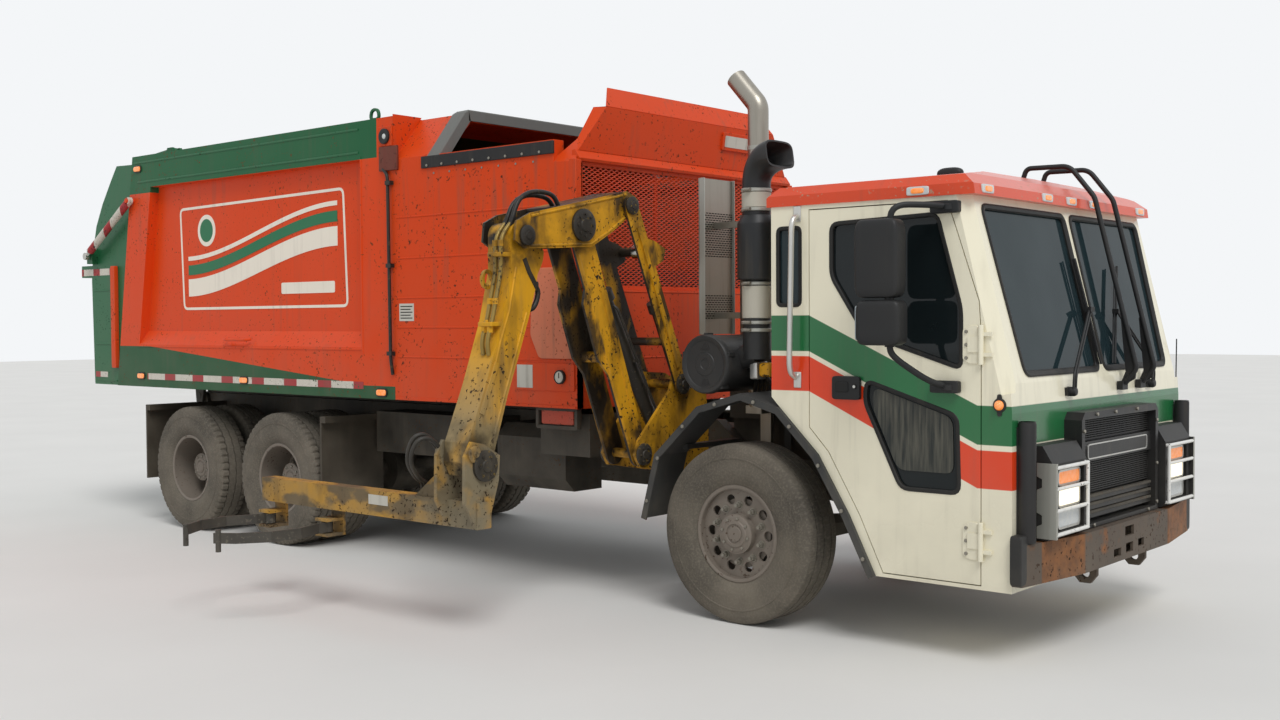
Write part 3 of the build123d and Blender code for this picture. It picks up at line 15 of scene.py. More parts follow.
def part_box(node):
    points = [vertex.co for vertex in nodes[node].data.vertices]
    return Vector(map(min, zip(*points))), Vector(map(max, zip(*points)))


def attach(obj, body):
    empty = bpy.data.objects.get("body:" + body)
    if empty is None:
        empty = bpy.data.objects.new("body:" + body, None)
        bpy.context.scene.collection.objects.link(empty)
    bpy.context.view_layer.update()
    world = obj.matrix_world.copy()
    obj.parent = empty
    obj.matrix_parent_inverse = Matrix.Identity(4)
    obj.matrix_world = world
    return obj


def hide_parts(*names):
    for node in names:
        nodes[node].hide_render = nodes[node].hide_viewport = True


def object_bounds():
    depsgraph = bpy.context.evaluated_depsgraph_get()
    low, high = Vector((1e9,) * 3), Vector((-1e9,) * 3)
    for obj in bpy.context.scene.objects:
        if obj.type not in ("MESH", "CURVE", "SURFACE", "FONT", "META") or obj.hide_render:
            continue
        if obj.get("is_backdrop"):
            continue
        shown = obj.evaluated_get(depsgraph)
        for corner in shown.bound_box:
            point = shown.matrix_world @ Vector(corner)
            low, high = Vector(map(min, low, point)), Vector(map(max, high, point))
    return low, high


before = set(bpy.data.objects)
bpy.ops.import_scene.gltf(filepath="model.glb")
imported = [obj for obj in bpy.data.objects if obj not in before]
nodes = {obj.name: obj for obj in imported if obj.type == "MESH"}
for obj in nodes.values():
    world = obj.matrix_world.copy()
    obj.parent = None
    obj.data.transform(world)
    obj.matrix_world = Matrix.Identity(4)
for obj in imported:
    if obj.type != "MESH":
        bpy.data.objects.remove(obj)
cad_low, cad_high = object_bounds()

SIDES = (("right", -1), ("left", 1))
print("truck from", [round(v, 2) for v in cad_low], "to", [round(v, 2) for v in cad_high])

# %% [markdown]
# ## Colours and nodes
# A colour code is written for screens, while Blender works with light, so each code is
# turned into linear values once, here. A second helper adds one shader node, sets it up
# and joins its inputs, which keeps every material below short enough to read.

# %% A colour helper and a node helper
def linear(code):
    """sRGB to light: c / 12.92 up to 0.04045, and ((c + 0.055) / 1.055) ** 2.4 above it."""
    c = np.array([int(code[i:i + 2], 16) for i in (0, 2, 4)]) / 255
    light = np.where(c <= 0.04045, c / 12.92, ((c + 0.055) / 1.055) ** 2.4)
    return (*light.tolist(), 1.0)


def add(tree, kind, inputs=None, **settings):
    """One node with its settings; an input may be a value, a colour code, a socket or a node."""
    node = tree.nodes.new("ShaderNode" + kind)
    for key, value in settings.items():
        setattr(node, key, value)
    for key, value in (inputs or {}).items():
        if isinstance(value, str):
            value = linear(value)
        if isinstance(value, bpy.types.Node):
            value = value.outputs[0]
        if isinstance(value, bpy.types.NodeSocket):
            tree.links.new(value, node.inputs[key])
        else:
            node.inputs[key].default_value = value
    return node


print("orange e2581c as light:", [round(v, 3) for v in linear("e2581c")])

# %% [markdown]
# ## How a painted surface ages
# Paint on a work truck is never one colour. Dust lies thicker near the wheels, rain
# pulls it down in streaks, oil darkens the places near a pin, and stones knock small
# chips out of edges. Each of these is a mask from 0 to 1, made from a noise whose size
# is worked out from the real one, and one colour is laid over another through it.

# %% Lay one colour over another, and the weather on paint
def maths(tree, operation, *values):
    """One arithmetic node: the operation's name, then its values or sockets."""
    return add(tree, "Math", dict(enumerate(values)), operation=operation)


def ramp(tree, value, low, high, first=0.0, last=1.0):
    """Goes from first to last while the value goes from low to high, and stays level outside."""
    return add(tree, "MapRange", {"Value": value, "From Min": low, "From Max": high, "To Min": first,
        "To Max": last})


def axes(tree, place):
    """The X, Y and Z of a place, as three sockets."""
    return add(tree, "SeparateXYZ", {0: place}).outputs[:3]


def over(tree, below, above, mask):
    """The colour above shows where the mask is 1, the colour below where it is 0."""
    return add(tree, "Mix", {0: mask, 6: below, 7: above}, data_type="RGBA").outputs[2]


def both(tree, first, second):
    """Two masks at once: their product."""
    return add(tree, "Math", {0: first, 1: second}, operation="MULTIPLY")


def between(tree, value, low, high, soft=0.004):
    """A mask that is 1 where the value lies between low and high, with a soft edge."""
    rise = ramp(tree, value, low - soft, low + soft)
    fall = ramp(tree, value, high + soft, high - soft)
    return both(tree, rise, fall)


def start(name):
    """A new material with its shader, and the place of each point in metres."""
    material = bpy.data.materials.new(name)
    material.use_nodes = True
    tree = material.node_tree
    place = add(tree, "TexCoord").outputs["Object"]
    return material, tree, tree.nodes["Principled BSDF"], place


def noise(tree, place, size, low, high, stretch=(1, 1, 1), detail=4.0):
    """A patchy mask: noise cells of a real size in metres, cut between two levels."""
    seen = place
    if stretch != (1, 1, 1):
        seen = add(tree, "Mapping", {"Vector": place, "Scale": stretch})
    cells = add(tree, "TexNoise", {"Vector": seen, "Scale": 1 / size, "Detail": detail})
    return ramp(tree, cells, low, high)


def weathered(name, colour, rough=0.4, dust=0.35, dust_top=1.2, streaks=0.3, chips=0.0, chip="4a3a2c",
        grease=0.0, spots=(), metal=0.0, grain=0.0004, soil="8b8374", coat=0.0, shine=0.3):
    """Paint or plastic with dust below a height, rain streaks, chips and oily pivots.

    colour is a hex code, or a function of (tree, place) that gives a colour socket.
    """
    material, tree, shader, place = start(name)
    paint = linear(colour) if isinstance(colour, str) else colour(tree, place)
    height = axes(tree, place)[2]
    fade = noise(tree, place, 0.9, 0.3, 0.75)
    paint = over(tree, paint, "d9cdb8", both(tree, fade, 0.02))
    drops = noise(tree, place, 0.05, 0.52, 0.72, stretch=(1, 1, 0.06), detail=6.0)
    patch = noise(tree, place, 0.5, 0.35, 0.7)
    lines = both(tree, drops, both(tree, patch, streaks))
    paint = over(tree, paint, "5d5344", lines)
    near = ramp(tree, height, dust_top, 0.35)
    cloud = noise(tree, place, 0.25, 0.2, 0.85, detail=8.0)
    film = both(tree, both(tree, near, cloud), dust)
    film = maths(tree, "ADD", film, both(tree, cloud, dust * 0.08))
    paint = over(tree, paint, soil, film)
    wear = film
    if chips:
        flakes = noise(tree, place, 0.022, 0.64 - chips * 0.08, 0.68 - chips * 0.08, detail=10.0)
        area = noise(tree, place, 0.28, 0.42, 0.56)
        bare = both(tree, flakes, area)
        paint = over(tree, paint, chip, bare)
        wear = maths(tree, "MAXIMUM", wear, bare)
    for centre, reach in spots:
        away = add(tree, "VectorMath", {0: place, 1: centre}, operation="DISTANCE").outputs["Value"]
        wet = ramp(tree, away, reach, reach * 0.35)
        wet = both(tree, wet, noise(tree, place, 0.09, 0.32, 0.6, detail=8.0))
        paint = over(tree, paint, "1c1814", wet)
    if grease:
        smear = noise(tree, place, 0.16, 0.5, 0.66, stretch=(1, 1, 0.45), detail=9.0)
        paint = over(tree, paint, "1f1b16", both(tree, smear, grease))
    gloss = add(tree, "Math", {0: both(tree, wear, 0.45), 1: rough}, operation="ADD", use_clamp=True)
    fine = add(tree, "TexNoise", {"Vector": place, "Scale": 260.0, "Detail": 3.0})
    bump = add(tree, "Bump", {"Height": fine, "Strength": 0.5, "Distance": grain})
    tree.links.new(paint, shader.inputs["Base Color"])
    tree.links.new(gloss.outputs[0], shader.inputs["Roughness"])
    tree.links.new(bump.outputs[0], shader.inputs["Normal"])
    shader.inputs["Metallic"].default_value = metal
    if not metal:
        shader.inputs["Specular IOR Level"].default_value = shine
    shader.inputs["Coat Weight"].default_value = coat
    shader.inputs["Coat Roughness"].default_value = 0.12
    return material


# %% [markdown]
# ## The cab's paint and its two stripes
# The cab is white two-pack enamel. A green and an orange stripe run level along the back
# of the cab, fall across the door and run level again round the front. The height of a
# point is therefore corrected by how far forward it lies: the fall is a clamped ramp of
# X, added to Z, and two bands of that sum make the stripes on shell and doors alike.

# %% Cab enamel with stripes
def cab_colours(tree, place):
    x, y, z = axes(tree, place)
    fall = ramp(tree, x, 0.525, 1.55, 0, 0.468)
    level = maths(tree, "ADD", z, fall)
    green = between(tree, level, 1.614, 1.815, 0.002)
    orange = between(tree, level, 1.39, 1.586, 0.002)
    outside = both(tree, y, y)
    outside = ramp(tree, outside, 1.15 ** 2, 1.16 ** 2)
    front = ramp(tree, x, 1.7, 1.71)
    shown = maths(tree, "MAXIMUM", outside, front)
    paint = over(tree, "efe8cf", "176a3a", both(tree, green, shown))
    return over(tree, paint, "e33c08", both(tree, orange, shown))


cab_enamel = weathered("cab enamel, glossy, striped", cab_colours, 0.22, 0.34, 1.25, 0.22, coat=0.4,
    soil="97907f")
roof_enamel = weathered("roof enamel, glossy orange", "da4312", 0.28, 0.1, 0.4, 0.25, 0.15, "b58a72",
    coat=0.3)
print("cab finishes ready")
# %% [markdown]
# ## The body's paint
# The tipping body is orange with a green top rail, a green wedge along its foot and a
# green strip under the front post. These are painted zones on flat steel, so each one is
# a band of Z, and the wedge is a band whose upper edge falls with X.

# %% Body enamel
def body_colours(tree, place):
    x, y, z = axes(tree, place)
    rear = maths(tree, "LESS_THAN", x, -6.4)
    edge = add(tree, "Mix", {0: rear, 2: 3.0, 3: 2.95})
    top = maths(tree, "GREATER_THAN", z, edge.outputs[0])
    behind = maths(tree, "LESS_THAN", x, -3.235)
    wedge = ramp(tree, x, -6.45, -3.4, 1.585, 1.318)
    foot = maths(tree, "LESS_THAN", z, wedge)
    paint = over(tree, "db4204", "125c36", both(tree, top, behind))
    return over(tree, paint, "1a5230", foot)


def hopper_colours(tree, place):
    """Orange with a darker old coat inside."""
    x, y, z = axes(tree, place)
    far = maths(tree, "ABSOLUTE", y)
    inside = maths(tree, "LESS_THAN", far, 1.165)
    inside = both(tree, inside, maths(tree, "LESS_THAN", x, -1.48))
    inside = both(tree, inside, maths(tree, "LESS_THAN", z, 2.93))
    worn = noise(tree, place, 0.12, 0.35, 0.6, detail=8.0)
    old = over(tree, "a8431d", "57463a", worn)
    return over(tree, "d64104", old, inside)


body_enamel = weathered("body enamel, orange and green", body_colours, 0.36, 0.3, 2.2, 0.28, 0.12,
    "6a3b22", shine=0.15)
hopper_enamel = weathered("hopper enamel, scraped orange", hopper_colours, 0.4, 0.25, 2.2, 0.45, 0.25,
    "5b2f1e", shine=0.15)
rusty_brown = weathered("bracket primer, brown and rusty", "6a3023", 0.6, 0.3, 2.8, 0.4, 0.6, "2c1c14")
screen_enamel = weathered("screen enamel, orange mesh", "cf3d0c", 0.5, 0.2, 2.5, 0.4, 0.3)
gate_enamel = weathered("tailgate enamel, green", "155f38", 0.38, 0.3, 2.0, 0.25, 0.1, "16402a")

# %% [markdown]
# ## The arm's paint
# The loading arm is yellow enamel that bins and stones have beaten, with black grease
# around every pin. The grease is a darkening near each pin's centre, broken up by noise,
# and the chips show brown primer. Rods are hard chrome and barrels are oily black.

# %% Arm finishes
ARM_X = -0.92
PINS = {"boom foot": (-1.1, 0.95), "boom head": (-1.64, 2.36), "link foot": (-0.74, 1.38),
    "link head": (-1.23, 2.5), "elbow": (-2.11, 2.28), "wrist": (-2.44, 0.99)}
pin_spots = [((ARM_X, *pin), 0.3) for pin in PINS.values()]


def plate_colours(half):
    """Yellow outside; black patches on every face closer to the arm's middle than half: painted shade and
    grease.
    """
    def colours(tree, place):
        x = axes(tree, place)[0]
        off = maths(tree, "ADD", maths(tree, "ADD", x, -ARM_X), 0.0)
        off = maths(tree, "ABSOLUTE", off)
        # Black on the faces between the plates: painted shade of the gaps and lower edges, together with
        # grease.
        inner = ramp(tree, off, half - 0.001, half - 0.003)
        oily = noise(tree, place, 0.14, 0.3, 0.48, stretch=(1, 1, 0.5), detail=9.0)
        paint = over(tree, "d0950f", "2a2118", both(tree, inner, oily))
        patches = noise(tree, place, 0.3, 0.545, 0.6, stretch=(1, 1, 0.45), detail=12.0)
        return over(tree, paint, "231c14", both(tree, patches, 0.9))
    return colours


def forearm_colours(tree, place):
    """Yellow above and dried mud below, with a broken edge between them."""
    height = axes(tree, place)[2]
    low = ramp(tree, height, 1.68, 1.2)
    mud = both(tree, low, noise(tree, place, 0.18, 0.18, 0.5, stretch=(1, 1, 0.6), detail=9.0))
    return over(tree, "d69a0e", "8a7d5e", both(tree, mud, 0.9))


arm_enamel = weathered("arm enamel, beaten yellow", "d0960f", 0.45, 0.3, 1.5, 0.5, 0.7, "33261a", 0.7,
    pin_spots)
boom_enamel = weathered("boom enamel, yellow and greasy", plate_colours(0.112), 0.45, 0.25, 1.4, 0.5, 0.8,
    "2c2117", 0.6, pin_spots)
top_enamel = weathered("top link enamel, yellow and greasy", plate_colours(0.142), 0.42, 0.2, 1.4, 0.3,
    0.5, "2c2117", 0.3, pin_spots)
link_enamel = weathered("link enamel, yellow and greasy", plate_colours(0.172), 0.45, 0.2, 1.4, 0.5, 0.7,
    "2c2117", 0.4, pin_spots)
forearm_enamel = weathered("forearm enamel, yellow and muddy", forearm_colours, 0.48, 0.3, 1.6, 0.5, 0.5,
    "33261a", 0.35, pin_spots, soil="8a7d5e")


def grabber_colours(tree, place):
    """Worn yellow with dark patches, and dried mud thickest on the cheeks."""
    x, y, z = axes(tree, place)
    forward = ramp(tree, x, -1.45, -1.05, 0.35, 0.95)
    dark = noise(tree, place, 0.16, 0.5, 0.58, stretch=(0.5, 1, 1), detail=11.0)
    paint = over(tree, "bd8a1a", "33281b", both(tree, dark, 0.85))
    mud = noise(tree, place, 0.22, 0.28, 0.52, detail=9.0)
    return over(tree, paint, "7d725a", both(tree, mud, forward))


grab_enamel = weathered("grabber enamel, worn and muddy", grabber_colours, 0.58, 0.4, 1.2, 0.4, 0.7,
    "33261a", 0.3)
oily_steel = weathered("cylinder enamel, oily black", "2b2823", 0.38, 0.25, 1.4, 0.5, 0.5, "5a5044", 0.4)
finger_steel = weathered("finger steel, scraped dark", "2e2c29", 0.5, 0.4, 1.2, chips=0.6, chip="6d675c",
    metal=0.3)

# %% [markdown]
# ## Chassis, plastics, rubber and glass
# Chassis paint is black but reads as grey-brown, because road dust covers it. Fenders and
# mirrors are moulded plastic with a fine grain. Tyres are dusty rubber, and the wheels
# are painted steel dulled by brake dust. The bumper is bare steel that has rusted brown
# except where a dark coat is left.

# %% Chassis and trim finishes
def bumper_colours(tree, place):
    x, y, z = axes(tree, place)
    middle = between(tree, y, -0.62, 0.6, 0.01)
    end = ramp(tree, y, -1.02, -1.03)
    coat = maths(tree, "MAXIMUM", middle, end)
    worn = noise(tree, place, 0.2, 0.62, 0.7, detail=8.0)
    coat = both(tree, coat, maths(tree, "SUBTRACT", 1.0, worn))
    rust = over(tree, "8a5426", "5f3a1e", noise(tree, place, 0.06, 0.3, 0.7))
    coat = both(tree, coat, 0.9)
    return over(tree, rust, "4d4740", coat)


bumper_steel = weathered("bumper steel, rusty", bumper_colours, 0.62, 0.3, 0.8, 0.35, 0.4, "3c2a1d",
    grain=0.0008)
frame_enamel = weathered("chassis enamel, dusty black", "26231f", 0.6, 0.6, 1.5, 0.4, 0.3, "54402f")
axle_enamel = weathered("axle enamel, caked in dust", "2a2723", 0.75, 0.8, 1.4, grease=0.3)
moulded_black = weathered("mirror and trim plastic, black", "191b1e", 0.48, 0.16, 1.6, 0.08, grain=0.0007)


def fender_colours(tree, place):
    """Black plastic in front, and browner flaps by the rear wheels."""
    x = axes(tree, place)[0]
    rear = maths(tree, "LESS_THAN", x, -2.0)
    return over(tree, "2f3133", "352e25", rear)


fender_plastic = weathered("fender plastic, weathered black", fender_colours, 0.6, 0.4, 1.5, 0.25,
    grain=0.001)
grille_plastic = weathered("grille plastic, satin black", "1b1c1e", 0.38, 0.18, 1.1, grain=0.0006)
intake_plastic = weathered("intake plastic, black", "1d1f22", 0.42, 0.15, 2.0, 0.3, grain=0.0008)
flap_rubber = weathered("flap rubber, dusty", "24231f", 0.85, 0.7, 1.3)
cab_inside = weathered("dashboard plastic, dark grey", "232427", 0.6, 0.05)
wheel_enamel = weathered("wheel enamel, brake dust", "7d746a", 0.5, 0.5, 1.6, 0.1, 0.35, "4b3a2c",
    soil="6b6054", metal=0.2)
stack_steel = weathered("stack steel, bare and sooty", "9a958b", 0.36, 0.2, 2.2, 0.5, metal=0.9,
    grain=0.0006)
galvanised = weathered("shield and clamp steel, zinc grey", "a7a79f", 0.45, 0.25, 2.4, 0.4, metal=0.55)
chrome = weathered("rod chrome, oily", "b9b7b1", 0.14, 0.1, 1.2, grease=0.25, metal=1.0, grain=0.0001)
bolt_steel = weathered("bolt zinc, dull", "8e8a80", 0.45, 0.35, 2.0, metal=0.7)
silver_paint = weathered("handle aluminium, satin", "c9c8c3", 0.3, 0.12, metal=0.75)
bright_white = weathered("guard bar enamel, white", "e4e3de", 0.35, 0.15, chips=0.1)
gasket_rubber = weathered("gasket rubber, black", "131415", 0.5, 0.08, grain=0.0005)
strip_rubber = weathered("hopper strip rubber, black", "1d1d1f", 0.62, 0.1, streaks=0.2, grain=0.0012)
rim_rubber = weathered("hopper rim rubber, grey", "6a6b68", 0.7, 0.3, 3.5, 0.2)
sign_white = weathered("sign paint, cream", "efe6d6", 0.4, 0.15, 2.6)
sign_green = weathered("sign paint, green", "0f6d45", 0.4, 0.12, 2.6)
label_white = weathered("label film, dirty white", "c9c6bb", 0.5, 0.3, 2.4, 0.7, soil="7d7566")
# Matt black for printed bars and the gauge needle, and painted shade in the heat shield's holes.
black_paint_and_hole_shade = weathered("matt black paint, and painted shade in the shield's holes", "15130f", 0.9, 0.0, 1.0, 0.0)
print(len(bpy.data.materials), "finishes ready")
# %% [markdown]
# ## Glass, lamps and tape
# The side windows show a dark cab, and the windscreen mirrors the sky: the dark base
# colour of the cab's glass is painted shade of the cab's inside. Real transparency costs
# render time and hides little, so the glass mixes a clear part with a sharp, tinted gloss.
# Lenses are clear or amber plastic with fine prisms, and the safety tape is a run of red
# and white blocks, 150 mm and 280 mm long, worked out from X.

# %% Glass and lenses
def glass(name, tint, clear, rough=0.03, dirt=0.0):
    """Tinted glass: part of it lets light through, the rest shines; dirt runs down it."""
    material, tree, shader, place = start(name)
    shader.inputs["Roughness"].default_value = rough
    shader.inputs["IOR"].default_value = 1.5
    pane = linear(tint)
    if dirt:
        runs = noise(tree, place, 0.02, 0.35, 0.75, stretch=(1, 1, 0.08), detail=9.0)
        pane = over(tree, pane, "6e6b5e", both(tree, runs, dirt))
        tree.links.new(pane, shader.inputs["Base Color"])
    else:
        shader.inputs["Base Color"].default_value = pane
    through = add(tree, "BsdfTransparent", {0: linear(tint if clear < 0.6 else "dfe8e6")})
    film = noise(tree, place, 0.3, 0.2, 0.9)
    share = ramp(tree, film, 0, 1, 1 - clear, 1 - clear * 0.85)
    blend = add(tree, "MixShader", {0: share, 1: through, 2: shader})
    tree.links.new(blend.outputs[0], tree.nodes["Material Output"].inputs["Surface"])
    return material


def lens(name, colour, glow=0.0, pitch=0.008):
    """Clear plastic with moulded prisms of a few millimetres."""
    material, tree, shader, place = start(name)
    x, y, z = axes(tree, place)
    slope = both(tree, maths(tree, "ADD", x, y), 6.283 / pitch)
    rows = both(tree, z, 6.283 / pitch)
    wave = both(tree, maths(tree, "SINE", slope), maths(tree, "SINE", rows))
    bump = add(tree, "Bump", {"Height": wave, "Strength": 0.6, "Distance": 0.0015})
    patch = noise(tree, place, 0.03, 0.3, 0.7)
    tree.links.new(over(tree, colour, "fff6e0", both(tree, patch, 0.25)), shader.inputs["Base Color"])
    tree.links.new(bump.outputs[0], shader.inputs["Normal"])
    shader.inputs["Roughness"].default_value = 0.12
    shader.inputs["Coat Weight"].default_value = 0.8
    shader.inputs["Emission Color"].default_value = linear(colour)
    shader.inputs["Emission Strength"].default_value = glow
    return material


# The dark base colours of the side, windscreen and kick glass are painted shade of the cab's inside; the
# kick glass's runs are dirt.
window_glass = glass("side window glass, dark", "20282a", 0.45)
screen_glass = glass("windscreen glass, tinted", "32454a", 0.5)
kick_glass = glass("kick window glass, grimy", "232826", 0.25, rough=0.35, dirt=0.9)
amber_lens = lens("lamp lens, amber", "ff8a14", glow=0.35)
lit_lens = lens("headlamp lens, lit", "fff3d6", glow=1.2)
clear_lens = lens("lamp lens, clear", "cfd4d6", glow=0.0)
red_lens = lens("lamp lens, red", "8d1014", glow=0.05)

# %% Safety tape, and the striped paint of the gate cylinders
def tape_colours(tree, place, pitch=0.445, red=0.17):
    """Red where the fraction of (x + y) / pitch is small, so it turns corners too."""
    x, y, z = axes(tree, place)
    along = maths(tree, "ADD", x, y)
    along = maths(tree, "ADD", along, 1.2)
    turn = maths(tree, "FRACT", both(tree, along, 1 / pitch))
    white = maths(tree, "GREATER_THAN", turn, red / pitch)
    cells = add(tree, "TexVoronoi", {"Vector": place, "Scale": 160.0})
    hive = ramp(tree, cells, 0.1, 0.6)
    pale = over(tree, "bdb5a6", "d8d2c6", hive)
    return over(tree, "a3242a", pale, white)


safety_tape = weathered("safety tape, red and white", tape_colours, 0.35, 0.3, 2.6, 0.4, 0.2, "4d5b44")
striped_paint = weathered("cylinder paint, red and white bands", lambda tree,
    place: tape_colours(tree, place, pitch=0.3, red=0.12), 0.5, 0.3, 3.2, chips=0.7, chip="3a3a36")

# %% [markdown]
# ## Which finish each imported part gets
# The solids that already have the right shape stay, and only their paint changes. The
# list goes part by part, so that no part keeps its plain packed colour.

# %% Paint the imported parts
finish_of = {"frame_rails": frame_enamel, "front_bumper": bumper_steel, "front_axle": axle_enamel,
    "rear_axles": axle_enamel, "engine_block": axle_enamel, "chassis_tanks": frame_enamel,
    "cab_shell": cab_enamel, "cab_roof": roof_enamel, "cab_glass": screen_glass, "dashboard": cab_inside,
    "seat_pedestals": cab_inside, "grille": grille_plastic, "headlamps": moulded_black,
    "cab_guards": moulded_black, "mudguards": fender_plastic, "exhaust_stack": stack_steel,
    "air_intake": intake_plastic, "arm_base": arm_enamel, "body_floor": frame_enamel,
    "body_shell": body_enamel, "hopper_walls": hopper_enamel, "hopper_screen": screen_enamel,
    "packer_panel": oily_steel, "tailgate": gate_enamel, "gate_cylinder_barrels": striped_paint,
    "gate_cylinder_rods": chrome, "hoist_barrels": oily_steel, "hoist_rods": chrome, "boom": boom_enamel,
    "boom_link": link_enamel, "top_link": top_enamel, "forearm": forearm_enamel, "lift_barrel": oily_steel,
    "lift_rod": chrome, "reach_barrel": oily_steel, "reach_rod": chrome, "grabber_beam": grab_enamel,
    "finger_front": finger_steel, "finger_rear": finger_steel, "cab_seats": cab_inside,}
for side in ("right", "left"):
    finish_of["door_" + side] = cab_enamel
    finish_of["door_glass_" + side] = window_glass
    finish_of["mirrors_" + side] = moulded_black
    finish_of["knuckle_" + side] = axle_enamel
for name, node in nodes.items():
    finish = wheel_enamel if name.startswith("rim") else finish_of.get(name, flap_rubber)
    for part_slot in node.material_slots:
        part_slot.material = finish
print(len(nodes), "packed parts painted")
# %% [markdown]
# ## Shapes as arrays
# Every new piece is a surface worked out with arrays. A shape here is a pair: points, and
# faces as rows of point numbers. A grid joins neighbouring rows and columns of points,
# and a few more functions of two parameters come from it: a tube along a route, an
# outline turned about an axle, an outline given thickness, and a strip along a loop.

# %% Grids and merging
def grid(points, closed_rows=False, closed_columns=False):
    """Faces between neighbours of a rows x columns x 3 array of points."""
    rows, columns = points.shape[:2]
    i = np.arange(rows if closed_rows else rows - 1)[:, None]
    j = np.arange(columns if closed_columns else columns - 1)[None, :]
    near, far = i * columns, ((i + 1) % rows) * columns
    side = (j + 1) % columns
    faces = np.stack([near + j, far + j, far + side, near + side], -1)
    return points.reshape(-1, 3), [tuple(f) for f in faces.reshape(-1, 4).tolist()]


def merge(*shapes):
    """One shape from several: each one's face numbers move up by the points before it."""
    points, faces, count = [], [], 0
    for verts, polygons in shapes:
        points.append(np.asarray(verts, float))
        faces += [tuple(v + count for v in polygon) for polygon in polygons]
        count += len(verts)
    return np.concatenate(points), faces


def unit(v):
    return v / np.linalg.norm(v, axis=-1, keepdims=True)


# %% Tubes, turned forms and plates
def rounded(route, bend, steps=7):
    """A route with round corners: a*(1-t)^2 + 2*p*t*(1-t) + b*t^2 at each corner p."""
    p = np.asarray(route, float)
    if len(p) < 3 or bend <= 0:
        return p
    back, ahead = p[:-2] - p[1:-1], p[2:] - p[1:-1]
    reach_back = np.minimum(bend, 0.48 * np.linalg.norm(back, axis=1))[:, None]
    reach_ahead = np.minimum(bend, 0.48 * np.linalg.norm(ahead, axis=1))[:, None]
    a, b = p[1:-1] + unit(back) * reach_back, p[1:-1] + unit(ahead) * reach_ahead
    t = np.linspace(0, 1, steps)[None, :, None]
    corner = (a[:, None] * (1 - t) ** 2 + 2 * p[1:-1][:, None] * t * (1 - t) + b[:, None] * t ** 2)
    return np.concatenate([p[:1], corner.reshape(-1, 3), p[-1:]])


def tube(route, radius, bend=0.0, sides=12):
    """Circle of a radius carried along a route; the ends close to a point."""
    path = rounded(route, bend)
    along = unit(np.gradient(path, axis=0))
    spare = np.linalg.svd(along)[2][-1]
    across = unit(spare - (along @ spare)[:, None] * along)
    other = np.cross(along, across)
    path = np.concatenate([path[:1], path, path[-1:]])
    across = np.concatenate([across[:1], across, across[-1:]])
    other = np.concatenate([other[:1], other, other[-1:]])
    size = np.broadcast_to(np.asarray(radius, float), (len(path) - 2,))
    size = np.concatenate([[0], size, [0]])[:, None, None]
    a = np.linspace(0, 2 * np.pi, sides, endpoint=False)[None, :, None]
    points = path[:, None] + size * (np.cos(a) * across[:, None] + np.sin(a) * other[:, None])
    return grid(points, closed_columns=True)


AXES = {"x": (0, 1, 2), "y": (1, 2, 0), "z": (2, 0, 1)}


def turned(profile, centre, axis="y", sides=32):
    """Profile of (distance along the axle, radius), turned: centre + a*axle + r*(cos, sin)."""
    a, r = np.asarray(profile, float).T
    t = np.linspace(0, 2 * np.pi, sides, endpoint=False)
    along, first, second = AXES[axis]
    points = np.zeros((sides, len(a), 3)) + np.asarray(centre, float)
    points[..., along] += a[None]
    points[..., first] += r[None] * np.cos(t)[:, None]
    points[..., second] += r[None] * np.sin(t)[:, None]
    return grid(points, closed_rows=True)


def side_face(y, sign=-1):
    """Places (a, b, c) on a side wall: a is X, b is Z, c stands out from the wall."""
    return lambda a, b, c: np.stack([a, sign * (y + c) + 0 * a, b], -1)


def front_face(x, slope=0.0, z0=0.0):
    """Places (a, b, c) on a front wall: a is Y, b is Z, c stands out forwards."""
    return lambda a, b, c: np.stack([x - slope * (b - z0) + c + 0 * a, a, b + 0 * a], -1)


def plate(outline, place, low, high):
    """An outline of (a, b) points given a thickness from low to high."""
    a, b = np.asarray(outline, float).T
    n = len(a)
    points = np.concatenate([place(a, b, low + 0 * a), place(a, b, high + 0 * a)])
    sides = [(i, (i + 1) % n, n + (i + 1) % n, n + i) for i in range(n)]
    return points, sides + [tuple(range(n))[::-1], tuple(range(n, 2 * n))]


def soft_outline(points, radius, steps=5):
    """A closed outline with round corners, as (a, b) points."""
    p = np.asarray(points, float)
    back, ahead = np.roll(p, 1, 0) - p, np.roll(p, -1, 0) - p
    reach = np.minimum(radius, 0.48 * np.minimum(np.linalg.norm(back, axis=1),
        np.linalg.norm(ahead, axis=1)))[:, None]
    a, b = p + unit(back) * reach, p + unit(ahead) * reach
    t = np.linspace(0, 1, steps)[None, :, None]
    arc = a[:, None] * (1 - t) ** 2 + 2 * p[:, None] * t * (1 - t) + b[:, None] * t ** 2
    return arc.reshape(-1, 2)


def strip(loop, profile, place, closed=True):
    """A profile of (outwards, height) carried along a loop of (a, b) points."""
    p = np.asarray(loop, float)
    if closed:
        run = np.roll(p, -1, 0) - np.roll(p, 1, 0)
    else:
        run = np.gradient(p, axis=0)
    normal = unit(np.stack([run[:, 1], -run[:, 0]], -1))
    area = np.sum(p[:, 0] * np.roll(p[:, 1], -1) - p[:, 1] * np.roll(p[:, 0], -1))
    normal = normal if area > 0 or not closed else -normal
    out, height = np.asarray(profile, float).T
    a = p[:, None, 0] + normal[:, None, 0] * out[None]
    b = p[:, None, 1] + normal[:, None, 1] * out[None]
    points = place(a, b, height[None] + 0 * a)
    if not closed:
        ends = points.mean(1, keepdims=True) + 0 * points
        points = np.concatenate([ends[:1], points, ends[-1:]])
    return grid(points, closed_rows=closed, closed_columns=True)


